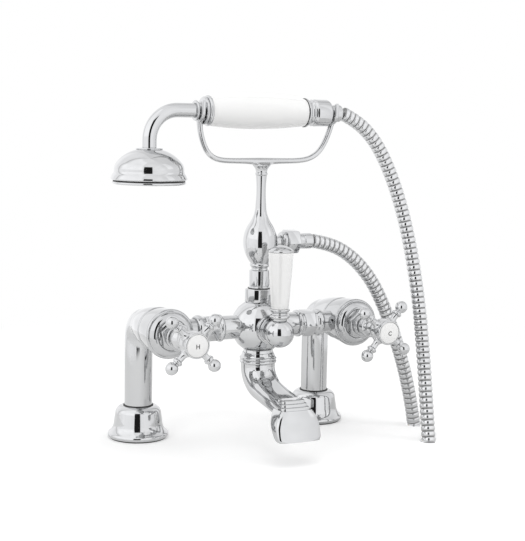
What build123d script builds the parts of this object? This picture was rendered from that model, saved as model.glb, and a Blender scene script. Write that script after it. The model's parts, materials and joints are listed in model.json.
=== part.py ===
from build123d import *
import math
import os

# Deck-mounted bath mixer with a hand shower in a cradle. Millimetres, +Z up. The origin is on
# the deck, midway between the two legs; the spout and the taps face -Y, and the hot tap is at -X.

# Layout
LEG_CENTRES = 180.0          # between the two legs, the usual spacing of holes in a bath
AXIS_HEIGHT = 106.0          # deck to the common axis of valves, arms and centre body
DECK_THICKNESS = 20.0        # the bath rim that the tails pass through, which isn't modelled

# Fits
CLEARANCE = 0.1              # radial, between pieces that are pushed or screwed together
RUNNING = 0.05               # radial, round a shaft that turns
GAP = 0.3                    # between pieces that pass each other without touching

# Legs and what fixes them to the deck
LEG_R = 12.5
LEG_BORE_R = 10.5
LEG_LOWER_END = 12.0
LEG_BEND_R = 17.0
LEG_SWELL = 1.3              # the leg's radius grows by this through its bend
TAIL_R = 13.2                # outside of a three-quarter inch pipe thread
TAIL_BORE_R = 8.5
TAIL_DROP = 55.0
TAIL_SPIGOT = 14.0
TAIL_THREAD_END = 34.5       # below the deck: the inlet's thread stops at a relief groove
TAIL_RELIEF_WIDTH = 1.7
TAIL_RELIEF_R = 12.6
TAIL_CHAMFER = 1.0
SEAL_THICKNESS = 1.2
SEAL_R = 25.4
WASHER_THICKNESS = 3.0
WASHER_R = 20.0
BACKNUT_ACROSS_FLATS = 36.0
BACKNUT_HEIGHT = 9.0
FLANGE_HEIGHT = 29.4
FLANGE_RIM_R = 27.4
FLANGE_BELL_R = 21.6
FLANGE_TOP_R = 14.6
FLANGE_WALL = 2.4
FLANGE_COLLAR = 4.2
FLANGE_CHAMFER = 0.7         # round the leg, at the top

# Valves: lengths along their axis are measured forward from the plane of the legs
JOINT_AT = 46.5
JOINT_R = 18.8
JOINT_SPIGOT_R = 14.0
JOINT_SPIGOT = 2.4
VALVE_LENGTH = 29.5
RIM_AT = JOINT_AT + VALVE_LENGTH
RIM_R = 21.4
CHAMBER_R = 13.0
SEAT_DEPTH = 5.5             # joint to the seat of the discs
SEAT_AT = JOINT_AT + SEAT_DEPTH
SEAT_WALL = 2.0
PORT_R = 6.0
BRANCH_AT = 13.5             # joint to the axis of the side outlet
BODY_FORWARD = JOINT_AT + BRANCH_AT
BRANCH_LENGTH = 38.0         # valve's axis to the end of its side outlet
VALVE_BOSS_R = 9.4
VALVE_BOSS_END = LEG_CENTRES / 2 - BRANCH_LENGTH
VALVE_OUTLET_R = 6.2

# Headworks: quarter-turn ceramic discs
BONNET_R = 19.6
BONNET_HEIGHT = 5.4
BONNET_NOSE_R = 14.2
HEX_ACROSS_FLATS = 23.0
HEX_LENGTH = 7.0
GLAND_R = 9.8
GLAND_LENGTH = 5.5
NECK_R = 8.0
NECK_LENGTH = 5.6
CAGE_R = 11.4
CAGE_BORE_R = 9.5
CAGE_LENGTH = 12.0
DISC_R = 9.2
DISC_THICKNESS = 3.0
SEAT_SEAL_THICKNESS = 1.5
SPINDLE_R = 4.0
SPINDLE_FOOT_R = 8.8
SPINDLE_FOOT = 3.0
SPINDLE_SEAL_WIDTH = 1.8
SPINDLE_SEAL_DEPTH = 1.0

# Crossheads
CROSS_BACK_GAP = 0.5         # headwork's nose to the back of the crosshead
CROSS_LENGTH = 25.0          # back of the crosshead to the plane of its four arms
CROSS_HUB_R = 10.3
CROSS_SKIRT_R = 9.2
CROSS_WAIST_R = 6.7
CROSS_ARM_R = 2.7
CROSS_ARM_ROOT_R = 3.7
CROSS_ARM_BEAD_R = 4.2
CROSS_REACH = 26.5           # axis to the middle of a ball
BALL_R = 5.3
HOT_CROSS_TURN = 45.0
COLD_CROSS_TURN = 51.0
INDEX_HEIGHT = 9.0           # plane of the arms to the face of the index cap
INDEX_RING_R = 10.8
INDEX_DISC_R = 9.4
INDEX_RING_LENGTH = 4.2
INDEX_SPIGOT_R = 6.0
SCREW_R = 1.95
SCREW_HEAD_R = 3.6
SCREW_HEAD = 2.6

# Centre body
BODY_R = 24.6
FLAT_DEPTH = 3.6             # of the flats under the riser's nut and beside the arms
WATERWAY_R = 7.0
TOP_FLAT = AXIS_HEIGHT + BODY_R - FLAT_DEPTH
NIPPLE_R = 8.0
NIPPLE_LENGTH = 9.0
FRONT_BOSS_R = 12.6
FRONT_BOSS = 0.9             # how far the front boss stands out of the ball
FRONT_BOSS_END = BODY_FORWARD + BODY_R + FRONT_BOSS
SPOUT_BOSS_R = 13.0
SPOUT_BOSS = 5.4             # how far the lower boss stands out of the ball
SPOUT_BOSS_END = AXIS_HEIGHT - BODY_R - SPOUT_BOSS

# Arms between the valves and the centre body
ARM_R = 10.4
ARM_BORE_R = 6.0
ARM_SEAT = BODY_R - FLAT_DEPTH
ARM_SPIGOT_R = 8.0
ARM_SPIGOT = 6.0
ARM_NUT_OVERLAP = 9.5        # of the nut over the valve's side outlet
ARM_NUT_LENGTH = 25.2
ARM_NUT_OUTER_END = VALVE_BOSS_END + ARM_NUT_OVERLAP
ARM_NUT_INNER_END = ARM_NUT_OUTER_END - ARM_NUT_LENGTH
ARM_NUT_R = 12.2
ARM_NUT_ACROSS_FLATS = 21.6
ARM_FLANGE = 3.0

# Diverter and its lever
PLUG_R = 9.4
PLUG_BEHIND = 10.0           # of the plug behind the riser's axis
PLUG_INSET = 3.5             # of the plug's front in its boss
PLUG_BACK = BODY_FORWARD - PLUG_BEHIND
PLUG_FRONT = FRONT_BOSS_END - PLUG_INSET
DIVERTER_STEM_R = 4.8
GLAND_NUT_R = 11.6
GLAND_NUT_LENGTH = 3.0
HUB_NECK = 11.7              # back of the hub's neck to the middle of its ball
HUB_FORWARD = FRONT_BOSS_END + GLAND_NUT_LENGTH + GAP + HUB_NECK
HUB_R = 12.8
HUB_NECK_R = 8.6
LEVER_SOCKET = 8.2           # height of the socket over the ball
LEVER_SOCKET_TOP = AXIS_HEIGHT + HUB_R + LEVER_SOCKET
LEVER_BOTTOM_R = 7.4
LEVER_TOP_R = 10.8
LEVER_LENGTH = 48.5
LEVER_TOP = LEVER_SOCKET_TOP + LEVER_LENGTH
LEVER_ROD_R = 3.0
LEVER_ROD_LIFT = 6.0         # foot of the rod over the ball's middle
LEVER_ROD_SEAT = AXIS_HEIGHT + LEVER_ROD_LIFT
LEVER_CAP = 7.0

# Spout
SPOUT_NUT_OVERLAP = 6.6      # of the nut over the body's lower boss
SPOUT_NUT_TOP = SPOUT_BOSS_END + SPOUT_NUT_OVERLAP
SPOUT_NUT_HEIGHT = 9.6
SPOUT_NUT_BOTTOM = SPOUT_NUT_TOP - SPOUT_NUT_HEIGHT
SPOUT_NUT_R = 16.4
SPOUT_NECK_R = 15.1
SPOUT_SPIGOT_R = 12.2
SPOUT_WALL = 2.2
SPOUT_REACH = 78.2           # axis of the neck to the top front edge of the mouth
SPOUT_DROP = 27.0            # bottom of the nut to the top of the mouth
MOUTH_CEILING = 3.6          # thickness over the mouth
MOUTH_TOP = SPOUT_NUT_BOTTOM - SPOUT_DROP
MOUTH_HEIGHT = 25.0
MOUTH_BOTTOM = MOUTH_TOP - MOUTH_HEIGHT
MOUTH_TOP_WIDTH = 28.4
MOUTH_WIDTH = 41.0           # where it is widest
MOUTH_TOP_FRONT = BODY_FORWARD + SPOUT_REACH
MOUTH_LENGTH = 20.2          # front to back, at the top
MOUTH_LEAN = 7.4             # of the front, forward on its way down
MOUTH_UNDERCUT = 15.6        # of the back, forward on its way down
MOUTH_STEP = 1.2             # each moulding over the mouth is this much narrower on each side
MOUTH_STEP_BACK = 2.4        # and its front edge stands this much further back
MOUTH_STEP_RISE = 2.5

# Riser and cradle
RISER_NUT_ACROSS_FLATS = 22.0
RISER_NUT_HEIGHT = 12.6
RISER_BASE = TOP_FLAT + RISER_NUT_HEIGHT
RISER_COLLAR_R = 9.2
RISER_COLLAR_LENGTH = 15.9
RISER_COLLAR_TOP = RISER_BASE + RISER_COLLAR_LENGTH
RISER_BORE_R = 4.0
VASE_WAIST_R = 8.0
VASE_R = 15.0
OUTLET_RISE = 24.5           # top of the collar to the outlet's axis
OUTLET_HEIGHT = RISER_COLLAR_TOP + OUTLET_RISE
STUB_R = 5.2
STUB_END = 24.0
STEM_R = 4.1
STEM_RISE = 67.0             # outlet's axis to the top of the stem
STEM_TOP = OUTLET_HEIGHT + STEM_RISE
STEM_TOP_R = 7.8
YOKE_PIN_R = 2.8
YOKE_PIN = 4.0
YOKE_LIFT = 4.3              # top of the stem to the middle of the cradle's bar
YOKE_HEIGHT = STEM_TOP + YOKE_LIFT
YOKE_HALF_HEIGHT = 2.4
YOKE_HALF_DEPTH = 3.1
YOKE_MIDDLE_HALF_HEIGHT = 3.8
YOKE_MIDDLE_HALF_DEPTH = 5.2
YOKE_MIDDLE_REACH = 14.0     # of the bar's thicker middle, to each side
FORK_WIDTH = 3.4
FORK_WALL = 2.6
FORK_RISE = 8.5              # of the prongs above the handset's axis
GROOVE_R = 7.4               # of the necks that lie in the forks

# Hand shower: distances along it are measured from the riser's axis, to the left or the right
HANDSET_RISE = 42.1          # cradle's bar to the handset's axis
HANDSET_HEIGHT = YOKE_HEIGHT + HANDSET_RISE
PIPE_R = 6.1
PIPE_BORE_R = 4.6
HANDLE_LEFT = 51.0
HANDLE_RIGHT = 40.0
HANDLE_END_R = 12.9
HANDLE_BELLY_R = 15.2
HANDLE_REAR_R = 12.2
HANDLE_BORE_R = 6.3
FERRULE_R = 11.9
FERRULE_BODY = 5.6           # handle to the groove
FERRULE_GROOVE = 5.6
FERRULE_LIP = 1.8
FERRULE_GROOVE_RIGHT = HANDLE_LEFT + FERRULE_BODY
FERRULE_GROOVE_LEFT = FERRULE_GROOVE_RIGHT + FERRULE_GROOVE
FERRULE_LEFT_END = FERRULE_GROOVE_LEFT + FERRULE_LIP
REAR_BEADS = 10.5
REAR_CYLINDER = 11.1
REAR_SHOULDER = 3.9
REAR_NECK = 5.7
REAR_BEADS_END = HANDLE_RIGHT + REAR_BEADS
REAR_CYLINDER_END = REAR_BEADS_END + REAR_CYLINDER
REAR_END = REAR_CYLINDER_END + REAR_SHOULDER
HOSE_NUT_START = REAR_END + REAR_NECK
LEFT_FORK = (FERRULE_GROOVE_LEFT + FERRULE_GROOVE_RIGHT) / 2
RIGHT_FORK = HOSE_NUT_START - FORK_WIDTH / 2 - 0.8
NECK_REACH = 40.3            # front ferrule to the rose's axis
NECK_DROP = 31.0             # handset's axis to the top of the rose's collar
NECK_BEND_R = 25.0
ROSE_X = FERRULE_LEFT_END + NECK_REACH
ROSE_COLLAR_R = 11.0
ROSE_COLLAR_HEIGHT = 2.4
ROSE_COLLAR_TOP = HANDSET_HEIGHT - NECK_DROP
ROSE_TOP = ROSE_COLLAR_TOP - ROSE_COLLAR_HEIGHT
ROSE_BELL_HEIGHT = 19.0
ROSE_SHOULDER = ROSE_TOP - ROSE_BELL_HEIGHT
ROSE_SHOULDER_R = 29.0
ROSE_RIM_R = 32.2
ROSE_RIM_HEIGHT = 5.0
ROSE_RIM_TOP = ROSE_SHOULDER - 1.0
ROSE_RIM_BOTTOM = ROSE_RIM_TOP - ROSE_RIM_HEIGHT
GASKET_THICKNESS = 1.3
ROSE_GASKET_BOTTOM = ROSE_RIM_BOTTOM - GASKET_THICKNESS
ROSE_GASKET_R = 30.2
ROSE_PLATE_THICKNESS = 2.1
ROSE_PLATE_BOTTOM = ROSE_GASKET_BOTTOM - ROSE_PLATE_THICKNESS
ROSE_PLATE_R = 31.0
ROSE_WALL = 1.6
SPRAY_HOLE_R = 0.9
SPRAY_RING_PITCH = 5.6
SPRAY_RINGS = 4

# Hose and its ends
HOSE_R = 6.5
OUTLET_NUT_LENGTH = 12.0
OUTLET_NUT_END = STUB_END + OUTLET_NUT_LENGTH
OUTLET_NUT_ACROSS_FLATS = 19.5
HOSE_FERRULE_R = 6.9
HOSE_FERRULE_REACH = 14.4    # of the sleeve beyond its nut
HOSE_FERRULE_END = OUTLET_NUT_END + HOSE_FERRULE_REACH
LOWER_HOSE_GAP = 1.3         # the hose starts just clear of its end pieces
LOWER_HOSE_START = HOSE_FERRULE_END + LOWER_HOSE_GAP
HOSE_WASHER = 1.5
HOSE_NUT_R = 7.7
HOSE_NUT_LENGTH = 5.4
HOSE_NUT_END = HOSE_NUT_START + HOSE_NUT_LENGTH
UPPER_HOSE_GAP = 3.0         # wider, as the hose leaves this end at a small angle
UPPER_HOSE_START = HOSE_NUT_END + UPPER_HOSE_GAP

os.makedirs("parts", exist_ok=True)


def save(name, *pieces):
    """Writes one node; identical pieces share it as separate solids."""
    shape = pieces[0] if len(pieces) == 1 else Compound(children=list(pieces))
    export_step(shape, f"parts/{name}.step")


def outline(start, *steps):
    """A closed face. A step is an end point, or (middle, end) for an arc."""
    edges = []
    at = start
    for step in steps:
        if isinstance(step[0], tuple):
            middle, end = step
            edges.append(ThreePointArc(at, middle, end))
        else:
            end = step
            edges.append(Line(at, end))
        at = end
    if at != start:
        edges.append(Line(at, start))
    return make_face(edges)


def dome(radius, edge, top):
    """Last step of an outline: a round cap from its edge to its top on the axis."""
    rise = top - edge
    ball = (radius**2 + rise**2) / (2 * rise)
    middle = (radius / 2, top - ball + math.sqrt(ball**2 - radius**2 / 4))
    return (middle, (0, top))


def turned(start, *steps):
    """A solid turned about Z from an outline of (radius, height) points."""
    return revolve(Plane.XZ * outline(start, *steps), Axis.Z)


def rod(radius, low, high):
    """A round bar along Z between two heights."""
    return Pos(0, 0, low) * Cylinder(radius, high - low, align=(Align.CENTER, Align.CENTER, Align.MIN))


def ring(inner, outer, low, high):
    """A plain ring about Z between two heights."""
    return rod(outer, low, high) - rod(inner, low - 1, high + 1)


def hexagon(across_flats, low, high):
    """A hexagonal prism along Z with its corners turned off at both ends."""
    corner = across_flats / math.sqrt(3)
    chamfer_drop = (corner - across_flats / 2) * 0.6
    prism = extrude(RegularPolygon(corner, 6), high - low)
    barrel = turned(
        (0, low),
        (across_flats / 2, low),
        (corner, low + chamfer_drop),
        (corner, high - chamfer_drop),
        (across_flats / 2, high),
        (0, high),
    )
    return (Pos(0, 0, low) * prism) & barrel


def forward(x):
    """Frame of a valve: local Z is the distance forward of the legs."""
    return Pos(x, 0, AXIS_HEIGHT) * Rot(90, 0, 0)


def sideways(side):
    """Frame of an arm: local Z is the distance from the middle plane."""
    return Pos(0, -BODY_FORWARD, AXIS_HEIGHT) * Rot(0, 90 * side, 0)


def upright(x=0.0):
    """Frame of what stands on the centre body: local Z is the height over the deck."""
    return Pos(x, -BODY_FORWARD, 0)


def lengthwise(height):
    """Frame along X at a height over the centre body: local Z is X."""
    return Pos(0, -BODY_FORWARD, height) * Rot(0, 90, 0)


SIDES = {"hot": -1, "cold": 1}
LEG_X = LEG_CENTRES / 2


# Deck fixings

def threaded_tail(x):
    """The pipe that passes through the deck, with a spigot inside the leg."""
    spigot_r = LEG_BORE_R - CLEARANCE
    spigot_top = LEG_LOWER_END + TAIL_SPIGOT
    relief_top = -TAIL_THREAD_END + TAIL_RELIEF_WIDTH
    return Pos(x, 0, 0) * turned(
        (TAIL_BORE_R, -TAIL_DROP),
        (TAIL_R - TAIL_CHAMFER, -TAIL_DROP),
        (TAIL_R, -TAIL_DROP + TAIL_CHAMFER),
        (TAIL_R, -TAIL_THREAD_END),
        (TAIL_RELIEF_R, -TAIL_THREAD_END),
        (TAIL_RELIEF_R, relief_top),
        (TAIL_R, relief_top),
        (TAIL_R, LEG_LOWER_END),
        (spigot_r, LEG_LOWER_END),
        (spigot_r, spigot_top),
        (TAIL_BORE_R, spigot_top),
    )


def deck_seal(x):
    return Pos(x, 0, 0) * ring(TAIL_R + GAP, SEAL_R, 0, SEAL_THICKNESS)


def deck_washer(x):
    top = -DECK_THICKNESS
    return Pos(x, 0, 0) * ring(TAIL_R + GAP, WASHER_R, top - WASHER_THICKNESS, top)


def backnut(x):
    top = -DECK_THICKNESS - WASHER_THICKNESS
    nut = hexagon(BACKNUT_ACROSS_FLATS, top - BACKNUT_HEIGHT, top)
    return Pos(x, 0, 0) * (nut - rod(TAIL_R + CLEARANCE, top - BACKNUT_HEIGHT - 1, top + 1))


def flange(x):
    """Bell-shaped cover flange over the hole in the deck."""
    bore = LEG_R + CLEARANCE
    base = SEAL_THICKNESS
    shoulder = FLANGE_HEIGHT - 6.9
    bell_foot = base + 12.0
    inner_bell_r = FLANGE_BELL_R - FLANGE_WALL
    collar_bottom = FLANGE_HEIGHT - FLANGE_COLLAR
    return Pos(x, 0, 0) * turned(
        (bore, FLANGE_HEIGHT - FLANGE_CHAMFER),
        (bore + FLANGE_CHAMFER, FLANGE_HEIGHT),
        (FLANGE_TOP_R, FLANGE_HEIGHT),
        ((FLANGE_BELL_R - 3.1, FLANGE_HEIGHT - 2.0), (FLANGE_BELL_R - 0.9, shoulder)),
        ((FLANGE_BELL_R - 0.2, (shoulder + bell_foot) / 2), (FLANGE_BELL_R + 0.4, bell_foot)),
        ((FLANGE_BELL_R + 2.1, base + 7.0), (FLANGE_RIM_R - 0.9, base + 4.0)),
        ((FLANGE_RIM_R, base + 2.1), (FLANGE_RIM_R - 0.6, base)),
        (FLANGE_RIM_R - FLANGE_WALL - 0.6, base),
        (FLANGE_RIM_R - FLANGE_WALL - 0.6, base + 2.2),
        (inner_bell_r + 1.0, base + 7.4),
        (inner_bell_r - 0.2, bell_foot + 1.0),
        (inner_bell_r - 1.6, shoulder - 0.6),
        (FLANGE_TOP_R - 0.4, collar_bottom),
        (bore, collar_bottom),
    )


def bent_bar(radius, neck_end_r):
    """A leg's tube, its bend and a neck, which swell forward to the joint."""
    bend_at = AXIS_HEIGHT - LEG_BEND_R
    upright_part = rod(radius, LEG_LOWER_END, bend_at)
    centre = Pos(0, -LEG_BEND_R, bend_at)
    sections = []
    for share in (0.0, 0.25, 0.5, 0.75, 1.0):
        swell = LEG_SWELL * share**1.5
        sections.append(centre * Rot(90 * share, 0, 0) * Pos(0, LEG_BEND_R, 0) * Circle(radius + swell))
    start_r = radius + LEG_SWELL
    middle = (start_r + 0.62 * (neck_end_r - start_r), LEG_BEND_R + 0.42 * (JOINT_AT - LEG_BEND_R))
    neck = turned(
        (0, LEG_BEND_R),
        (start_r, LEG_BEND_R),
        (middle, (neck_end_r, JOINT_AT)),
        (0, JOINT_AT),
    )
    return upright_part + loft(sections) + forward(0) * neck


def pillar(x):
    """Leg, bend and neck in one piece, with the spigot that enters the valve body."""
    outer = bent_bar(LEG_R, JOINT_R)
    spigot = forward(0) * rod(JOINT_SPIGOT_R, JOINT_AT - 1, JOINT_AT + JOINT_SPIGOT)
    inner = bent_bar(LEG_BORE_R, JOINT_SPIGOT_R - 2.0)
    mouth = forward(0) * rod(JOINT_SPIGOT_R - 1.7, JOINT_AT - 1, JOINT_AT + JOINT_SPIGOT + 1)
    foot = rod(LEG_BORE_R, LEG_LOWER_END - 1, LEG_LOWER_END + 1)
    return Pos(x, 0, 0) * (outer + spigot - inner - mouth - foot)


# Valves

def valve_body(side):
    """Round valve casting with its seat, chamber and side outlet."""
    x = side * LEG_X
    socket_r = JOINT_SPIGOT_R + CLEARANCE
    barrel = turned(
        (0, JOINT_AT),
        (JOINT_R - 0.5, JOINT_AT),
        ((JOINT_R + 0.6, JOINT_AT + 1.4), (JOINT_R - 0.1, JOINT_AT + 2.8)),
        ((RIM_R - 1.1, JOINT_AT + 14.0), (RIM_R - 0.6, RIM_AT - 4.6)),
        ((RIM_R, RIM_AT - 2.6), (RIM_R - 0.5, RIM_AT - 0.6)),
        (RIM_R - 1.2, RIM_AT),
        (0, RIM_AT),
    )
    hollow = turned(
        (0, JOINT_AT - 1),
        (socket_r, JOINT_AT - 1),
        (socket_r, JOINT_AT + JOINT_SPIGOT + CLEARANCE),
        (PORT_R, SEAT_AT - SEAT_WALL),
        (PORT_R, SEAT_AT),
        (CHAMBER_R, SEAT_AT),
        (CHAMBER_R, RIM_AT + 1),
        (0, RIM_AT + 1),
    )
    boss = sideways(side) * rod(VALVE_BOSS_R, VALVE_BOSS_END, LEG_X)
    outlet = sideways(side) * rod(VALVE_OUTLET_R, VALVE_BOSS_END - 1, LEG_X)
    return forward(x) * barrel + boss - forward(x) * hollow - outlet


def bonnet(x):
    """Domed ring between the valve's rim and the headwork's hexagon."""
    bore = CHAMBER_R + CLEARANCE
    top = RIM_AT + BONNET_HEIGHT
    return forward(x) * turned(
        (bore, RIM_AT),
        (BONNET_R, RIM_AT),
        (BONNET_R, RIM_AT + 1.0),
        ((BONNET_R - 1.7, top - 1.5), (BONNET_NOSE_R, top)),
        (bore, top),
    )


BARREL_END = RIM_AT + BONNET_HEIGHT
HEX_END = BARREL_END + HEX_LENGTH
GLAND_END = HEX_END + GLAND_LENGTH
NECK_END = GLAND_END + NECK_LENGTH
CAGE_START = SEAT_AT + SEAT_SEAL_THICKNESS
FIXED_DISC_START = SEAT_AT + SEAT_SEAL_THICKNESS
MOVING_DISC_START = FIXED_DISC_START + DISC_THICKNESS + GAP
FOOT_START = MOVING_DISC_START + DISC_THICKNESS
FOOT_END = FOOT_START + SPINDLE_FOOT


def headwork(x):
    """Cartridge body: cage for the discs, threaded barrel, hexagon and gland."""
    cage_end = CAGE_START + CAGE_LENGTH
    body = turned(
        (0, CAGE_START),
        (CAGE_R, CAGE_START),
        (CAGE_R, cage_end),
        (CHAMBER_R - CLEARANCE, cage_end),
        (CHAMBER_R - CLEARANCE, BARREL_END),
        (GLAND_R, BARREL_END),
        (GLAND_R, HEX_END + 1.0),
        ((GLAND_R - 0.9, HEX_END + 1.9), (GLAND_R - 0.2, HEX_END + 2.8)),
        ((GLAND_R + 0.5, HEX_END + 4.0), (GLAND_R - 0.6, GLAND_END)),
        (NECK_R, GLAND_END),
        (NECK_R, NECK_END - 0.8),
        (NECK_R - 0.8, NECK_END),
        (0, NECK_END),
    )
    hollow = turned(
        (0, CAGE_START - 1),
        (CAGE_BORE_R, CAGE_START - 1),
        (CAGE_BORE_R, FOOT_END + GAP),
        (SPINDLE_R + RUNNING, FOOT_END + GAP),
        (SPINDLE_R + RUNNING, NECK_END + 1),
        (0, NECK_END + 1),
    )
    window_height = 2 * SPINDLE_FOOT
    window = Pos(0, 0, FOOT_START + SPINDLE_FOOT / 2) * Box(4 * CAGE_R, 9.0, window_height)
    solid = body + hexagon(HEX_ACROSS_FLATS, BARREL_END, HEX_END) - hollow - window
    return forward(x) * solid


def seat_seal(x):
    return forward(x) * ring(PORT_R, DISC_R - GAP, SEAT_AT, SEAT_AT + SEAT_SEAL_THICKNESS)


def ported_disc(start, turn):
    """A ceramic disc with two opposite sector ports."""
    disc = rod(DISC_R, start, start + DISC_THICKNESS)
    sector = make_face([
        Line((1.6, 1.2), (6.2, 3.0)),
        ThreePointArc((6.2, 3.0), (4.9, 4.9), (3.0, 6.2)),
        Line((3.0, 6.2), (1.2, 1.6)),
        Line((1.2, 1.6), (1.6, 1.2)),
    ])
    port = Pos(0, 0, start - 1) * extrude(sector, DISC_THICKNESS + 2)
    for angle in (turn, turn + 180):
        disc -= Rot(0, 0, angle) * port
    return disc


def fixed_disc(x):
    return forward(x) * ported_disc(FIXED_DISC_START, 0)


def moving_disc(x):
    """Closed at rest: its ports lie a quarter turn from the fixed disc's."""
    return forward(x) * ported_disc(MOVING_DISC_START, 90)


SEAL_AT = HEX_END + 1.5
CROSS_BACK = NECK_END + CROSS_BACK_GAP
CROSS_PLANE = CROSS_BACK + CROSS_LENGTH
SPINDLE_END = CROSS_PLANE - 7.0
INDEX_FACE = CROSS_PLANE + INDEX_HEIGHT
CROSS_WEB = 3.2


def spindle(x):
    """Turning spindle: foot over the moving disc, seal groove, tapped end."""
    shaft = rod(SPINDLE_FOOT_R, FOOT_START, FOOT_END) + rod(SPINDLE_R, FOOT_END, SPINDLE_END)
    groove = ring(
        SPINDLE_R - SPINDLE_SEAL_DEPTH, SPINDLE_R + 1, SEAL_AT, SEAL_AT + SPINDLE_SEAL_WIDTH
    )
    tapping = rod(SCREW_R + RUNNING, SPINDLE_END - 9.0, SPINDLE_END + 1)
    slot = Pos(0, 0, FOOT_START) * Box(3.0, 4 * SPINDLE_R, 2.0)
    return forward(x) * (shaft - groove - tapping - slot)


def spindle_seal(x):
    return forward(x) * ring(
        SPINDLE_R - SPINDLE_SEAL_DEPTH, SPINDLE_R, SEAL_AT, SEAL_AT + SPINDLE_SEAL_WIDTH
    )


def crosshead(x, turn):
    """Cross handle: flared skirt, hub and four arms that end in balls."""
    hub_back = CROSS_PLANE - 6.2
    hub_front = INDEX_FACE - INDEX_RING_LENGTH
    hub = turned(
        (0, CROSS_BACK),
        (CROSS_SKIRT_R - 0.7, CROSS_BACK),
        ((CROSS_SKIRT_R, CROSS_BACK + 1.4), (CROSS_SKIRT_R - 0.9, CROSS_BACK + 2.8)),
        ((CROSS_WAIST_R, CROSS_BACK + 8.0), (CROSS_WAIST_R + 0.9, hub_back - 3.6)),
        (CROSS_HUB_R - 1.2, hub_back - 1.2),
        ((CROSS_HUB_R + 0.2, hub_back + 0.6), (CROSS_HUB_R, hub_back + 2.6)),
        (CROSS_HUB_R, hub_front),
        (0, hub_front),
    )
    bead_at = CROSS_REACH - BALL_R - 1.6
    arm = turned(
        (0, CROSS_HUB_R - 3.0),
        (CROSS_ARM_ROOT_R, CROSS_HUB_R - 3.0),
        (CROSS_ARM_ROOT_R, CROSS_HUB_R + 0.6),
        ((CROSS_ARM_R, CROSS_HUB_R + 3.6), (CROSS_ARM_R, bead_at - 2.0)),
        ((CROSS_ARM_BEAD_R, bead_at), (CROSS_ARM_R + 0.3, bead_at + 1.5)),
        (CROSS_ARM_R, CROSS_REACH),
        (0, CROSS_REACH),
    )
    arm += Pos(0, 0, CROSS_REACH) * Sphere(BALL_R)
    solid = hub
    for quarter in range(4):
        solid += Pos(0, 0, CROSS_PLANE) * Rot(0, 0, turn + 90 * quarter) * Rot(0, 90, 0) * arm
    web_top = SPINDLE_END + CROSS_WEB
    solid -= rod(SPINDLE_R + RUNNING, CROSS_BACK - 1, SPINDLE_END)
    solid -= rod(SCREW_R + CLEARANCE, SPINDLE_END - 1, web_top + 1)
    solid -= rod(INDEX_SPIGOT_R + CLEARANCE, web_top, hub_front + 1)
    return forward(x) * solid


def handle_screw(x):
    head_low = SPINDLE_END + CROSS_WEB
    screw = rod(SCREW_R, SPINDLE_END - 8.0, head_low) + rod(SCREW_HEAD_R, head_low, head_low + SCREW_HEAD)
    slot = Pos(0, 0, head_low + SCREW_HEAD) * Box(2.4 * SCREW_HEAD_R, 0.9, 1.6)
    return forward(x) * (screw - slot)


def index_ring(x):
    """Chromed cap with a spigot below and a recess for the ceramic button."""
    low = INDEX_FACE - INDEX_RING_LENGTH
    cap = turned(
        (0, low),
        (INDEX_RING_R - 0.4, low),
        ((INDEX_RING_R, low + 1.2), (INDEX_RING_R - 0.1, INDEX_FACE - 1.4)),
        ((INDEX_RING_R - 0.5, INDEX_FACE - 0.3), (INDEX_DISC_R + 0.4, INDEX_FACE)),
        (INDEX_DISC_R + CLEARANCE, INDEX_FACE - 0.2),
        (INDEX_DISC_R + CLEARANCE, INDEX_FACE - 2.4),
        (0, INDEX_FACE - 2.4),
    )
    return forward(x) * (cap + rod(INDEX_SPIGOT_R, low - 3.4, low) - rod(4.4, low - 4, low - 0.4))


def index_disc(x):
    """Slightly domed ceramic button."""
    return forward(x) * turned(
        (0, INDEX_FACE - 2.4),
        (INDEX_DISC_R, INDEX_FACE - 2.4),
        (INDEX_DISC_R, INDEX_FACE - 0.5),
        dome(INDEX_DISC_R, INDEX_FACE - 0.5, INDEX_FACE + 0.5),
    )


# Arms and centre body

def arm(side):
    """Tube between the centre body and a valve, with the flange that its nut pulls on."""
    tube = rod(ARM_SPIGOT_R, ARM_SEAT - ARM_SPIGOT, VALVE_BOSS_END)
    tube += rod(ARM_R, ARM_SEAT, ARM_NUT_INNER_END)
    tube += rod(VALVE_BOSS_R, VALVE_BOSS_END - ARM_FLANGE, VALVE_BOSS_END)
    return sideways(side) * (tube - rod(ARM_BORE_R, ARM_SEAT - ARM_SPIGOT - 1, VALVE_BOSS_END + 1))


def arm_nut(side):
    """Union nut with a hexagon between two beads."""
    low, high = ARM_NUT_INNER_END, ARM_NUT_OUTER_END
    flange_low = VALVE_BOSS_END - ARM_FLANGE
    outside = turned(
        (0, low),
        (ARM_NUT_R - 1.4, low),
        ((ARM_NUT_R - 0.1, low + 2.0), (ARM_NUT_R - 1.6, low + 4.0)),
        (ARM_NUT_R - 1.6, low + 4.8),
        (ARM_NUT_R - 1.6, high - 7.6),
        (ARM_NUT_R - 1.2, high - 6.4),
        ((ARM_NUT_R + 0.2, high - 3.4), (ARM_NUT_R - 0.9, high - 0.4)),
        (ARM_NUT_R - 1.2, high),
        (0, high),
    )
    outside += hexagon(ARM_NUT_ACROSS_FLATS, low + 5.6, high - 8.4)
    inside = rod(ARM_SPIGOT_R + CLEARANCE, low - 1, flange_low)
    inside += rod(VALVE_BOSS_R + CLEARANCE, flange_low, high + 1)
    return sideways(side) * (outside - inside)


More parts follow.
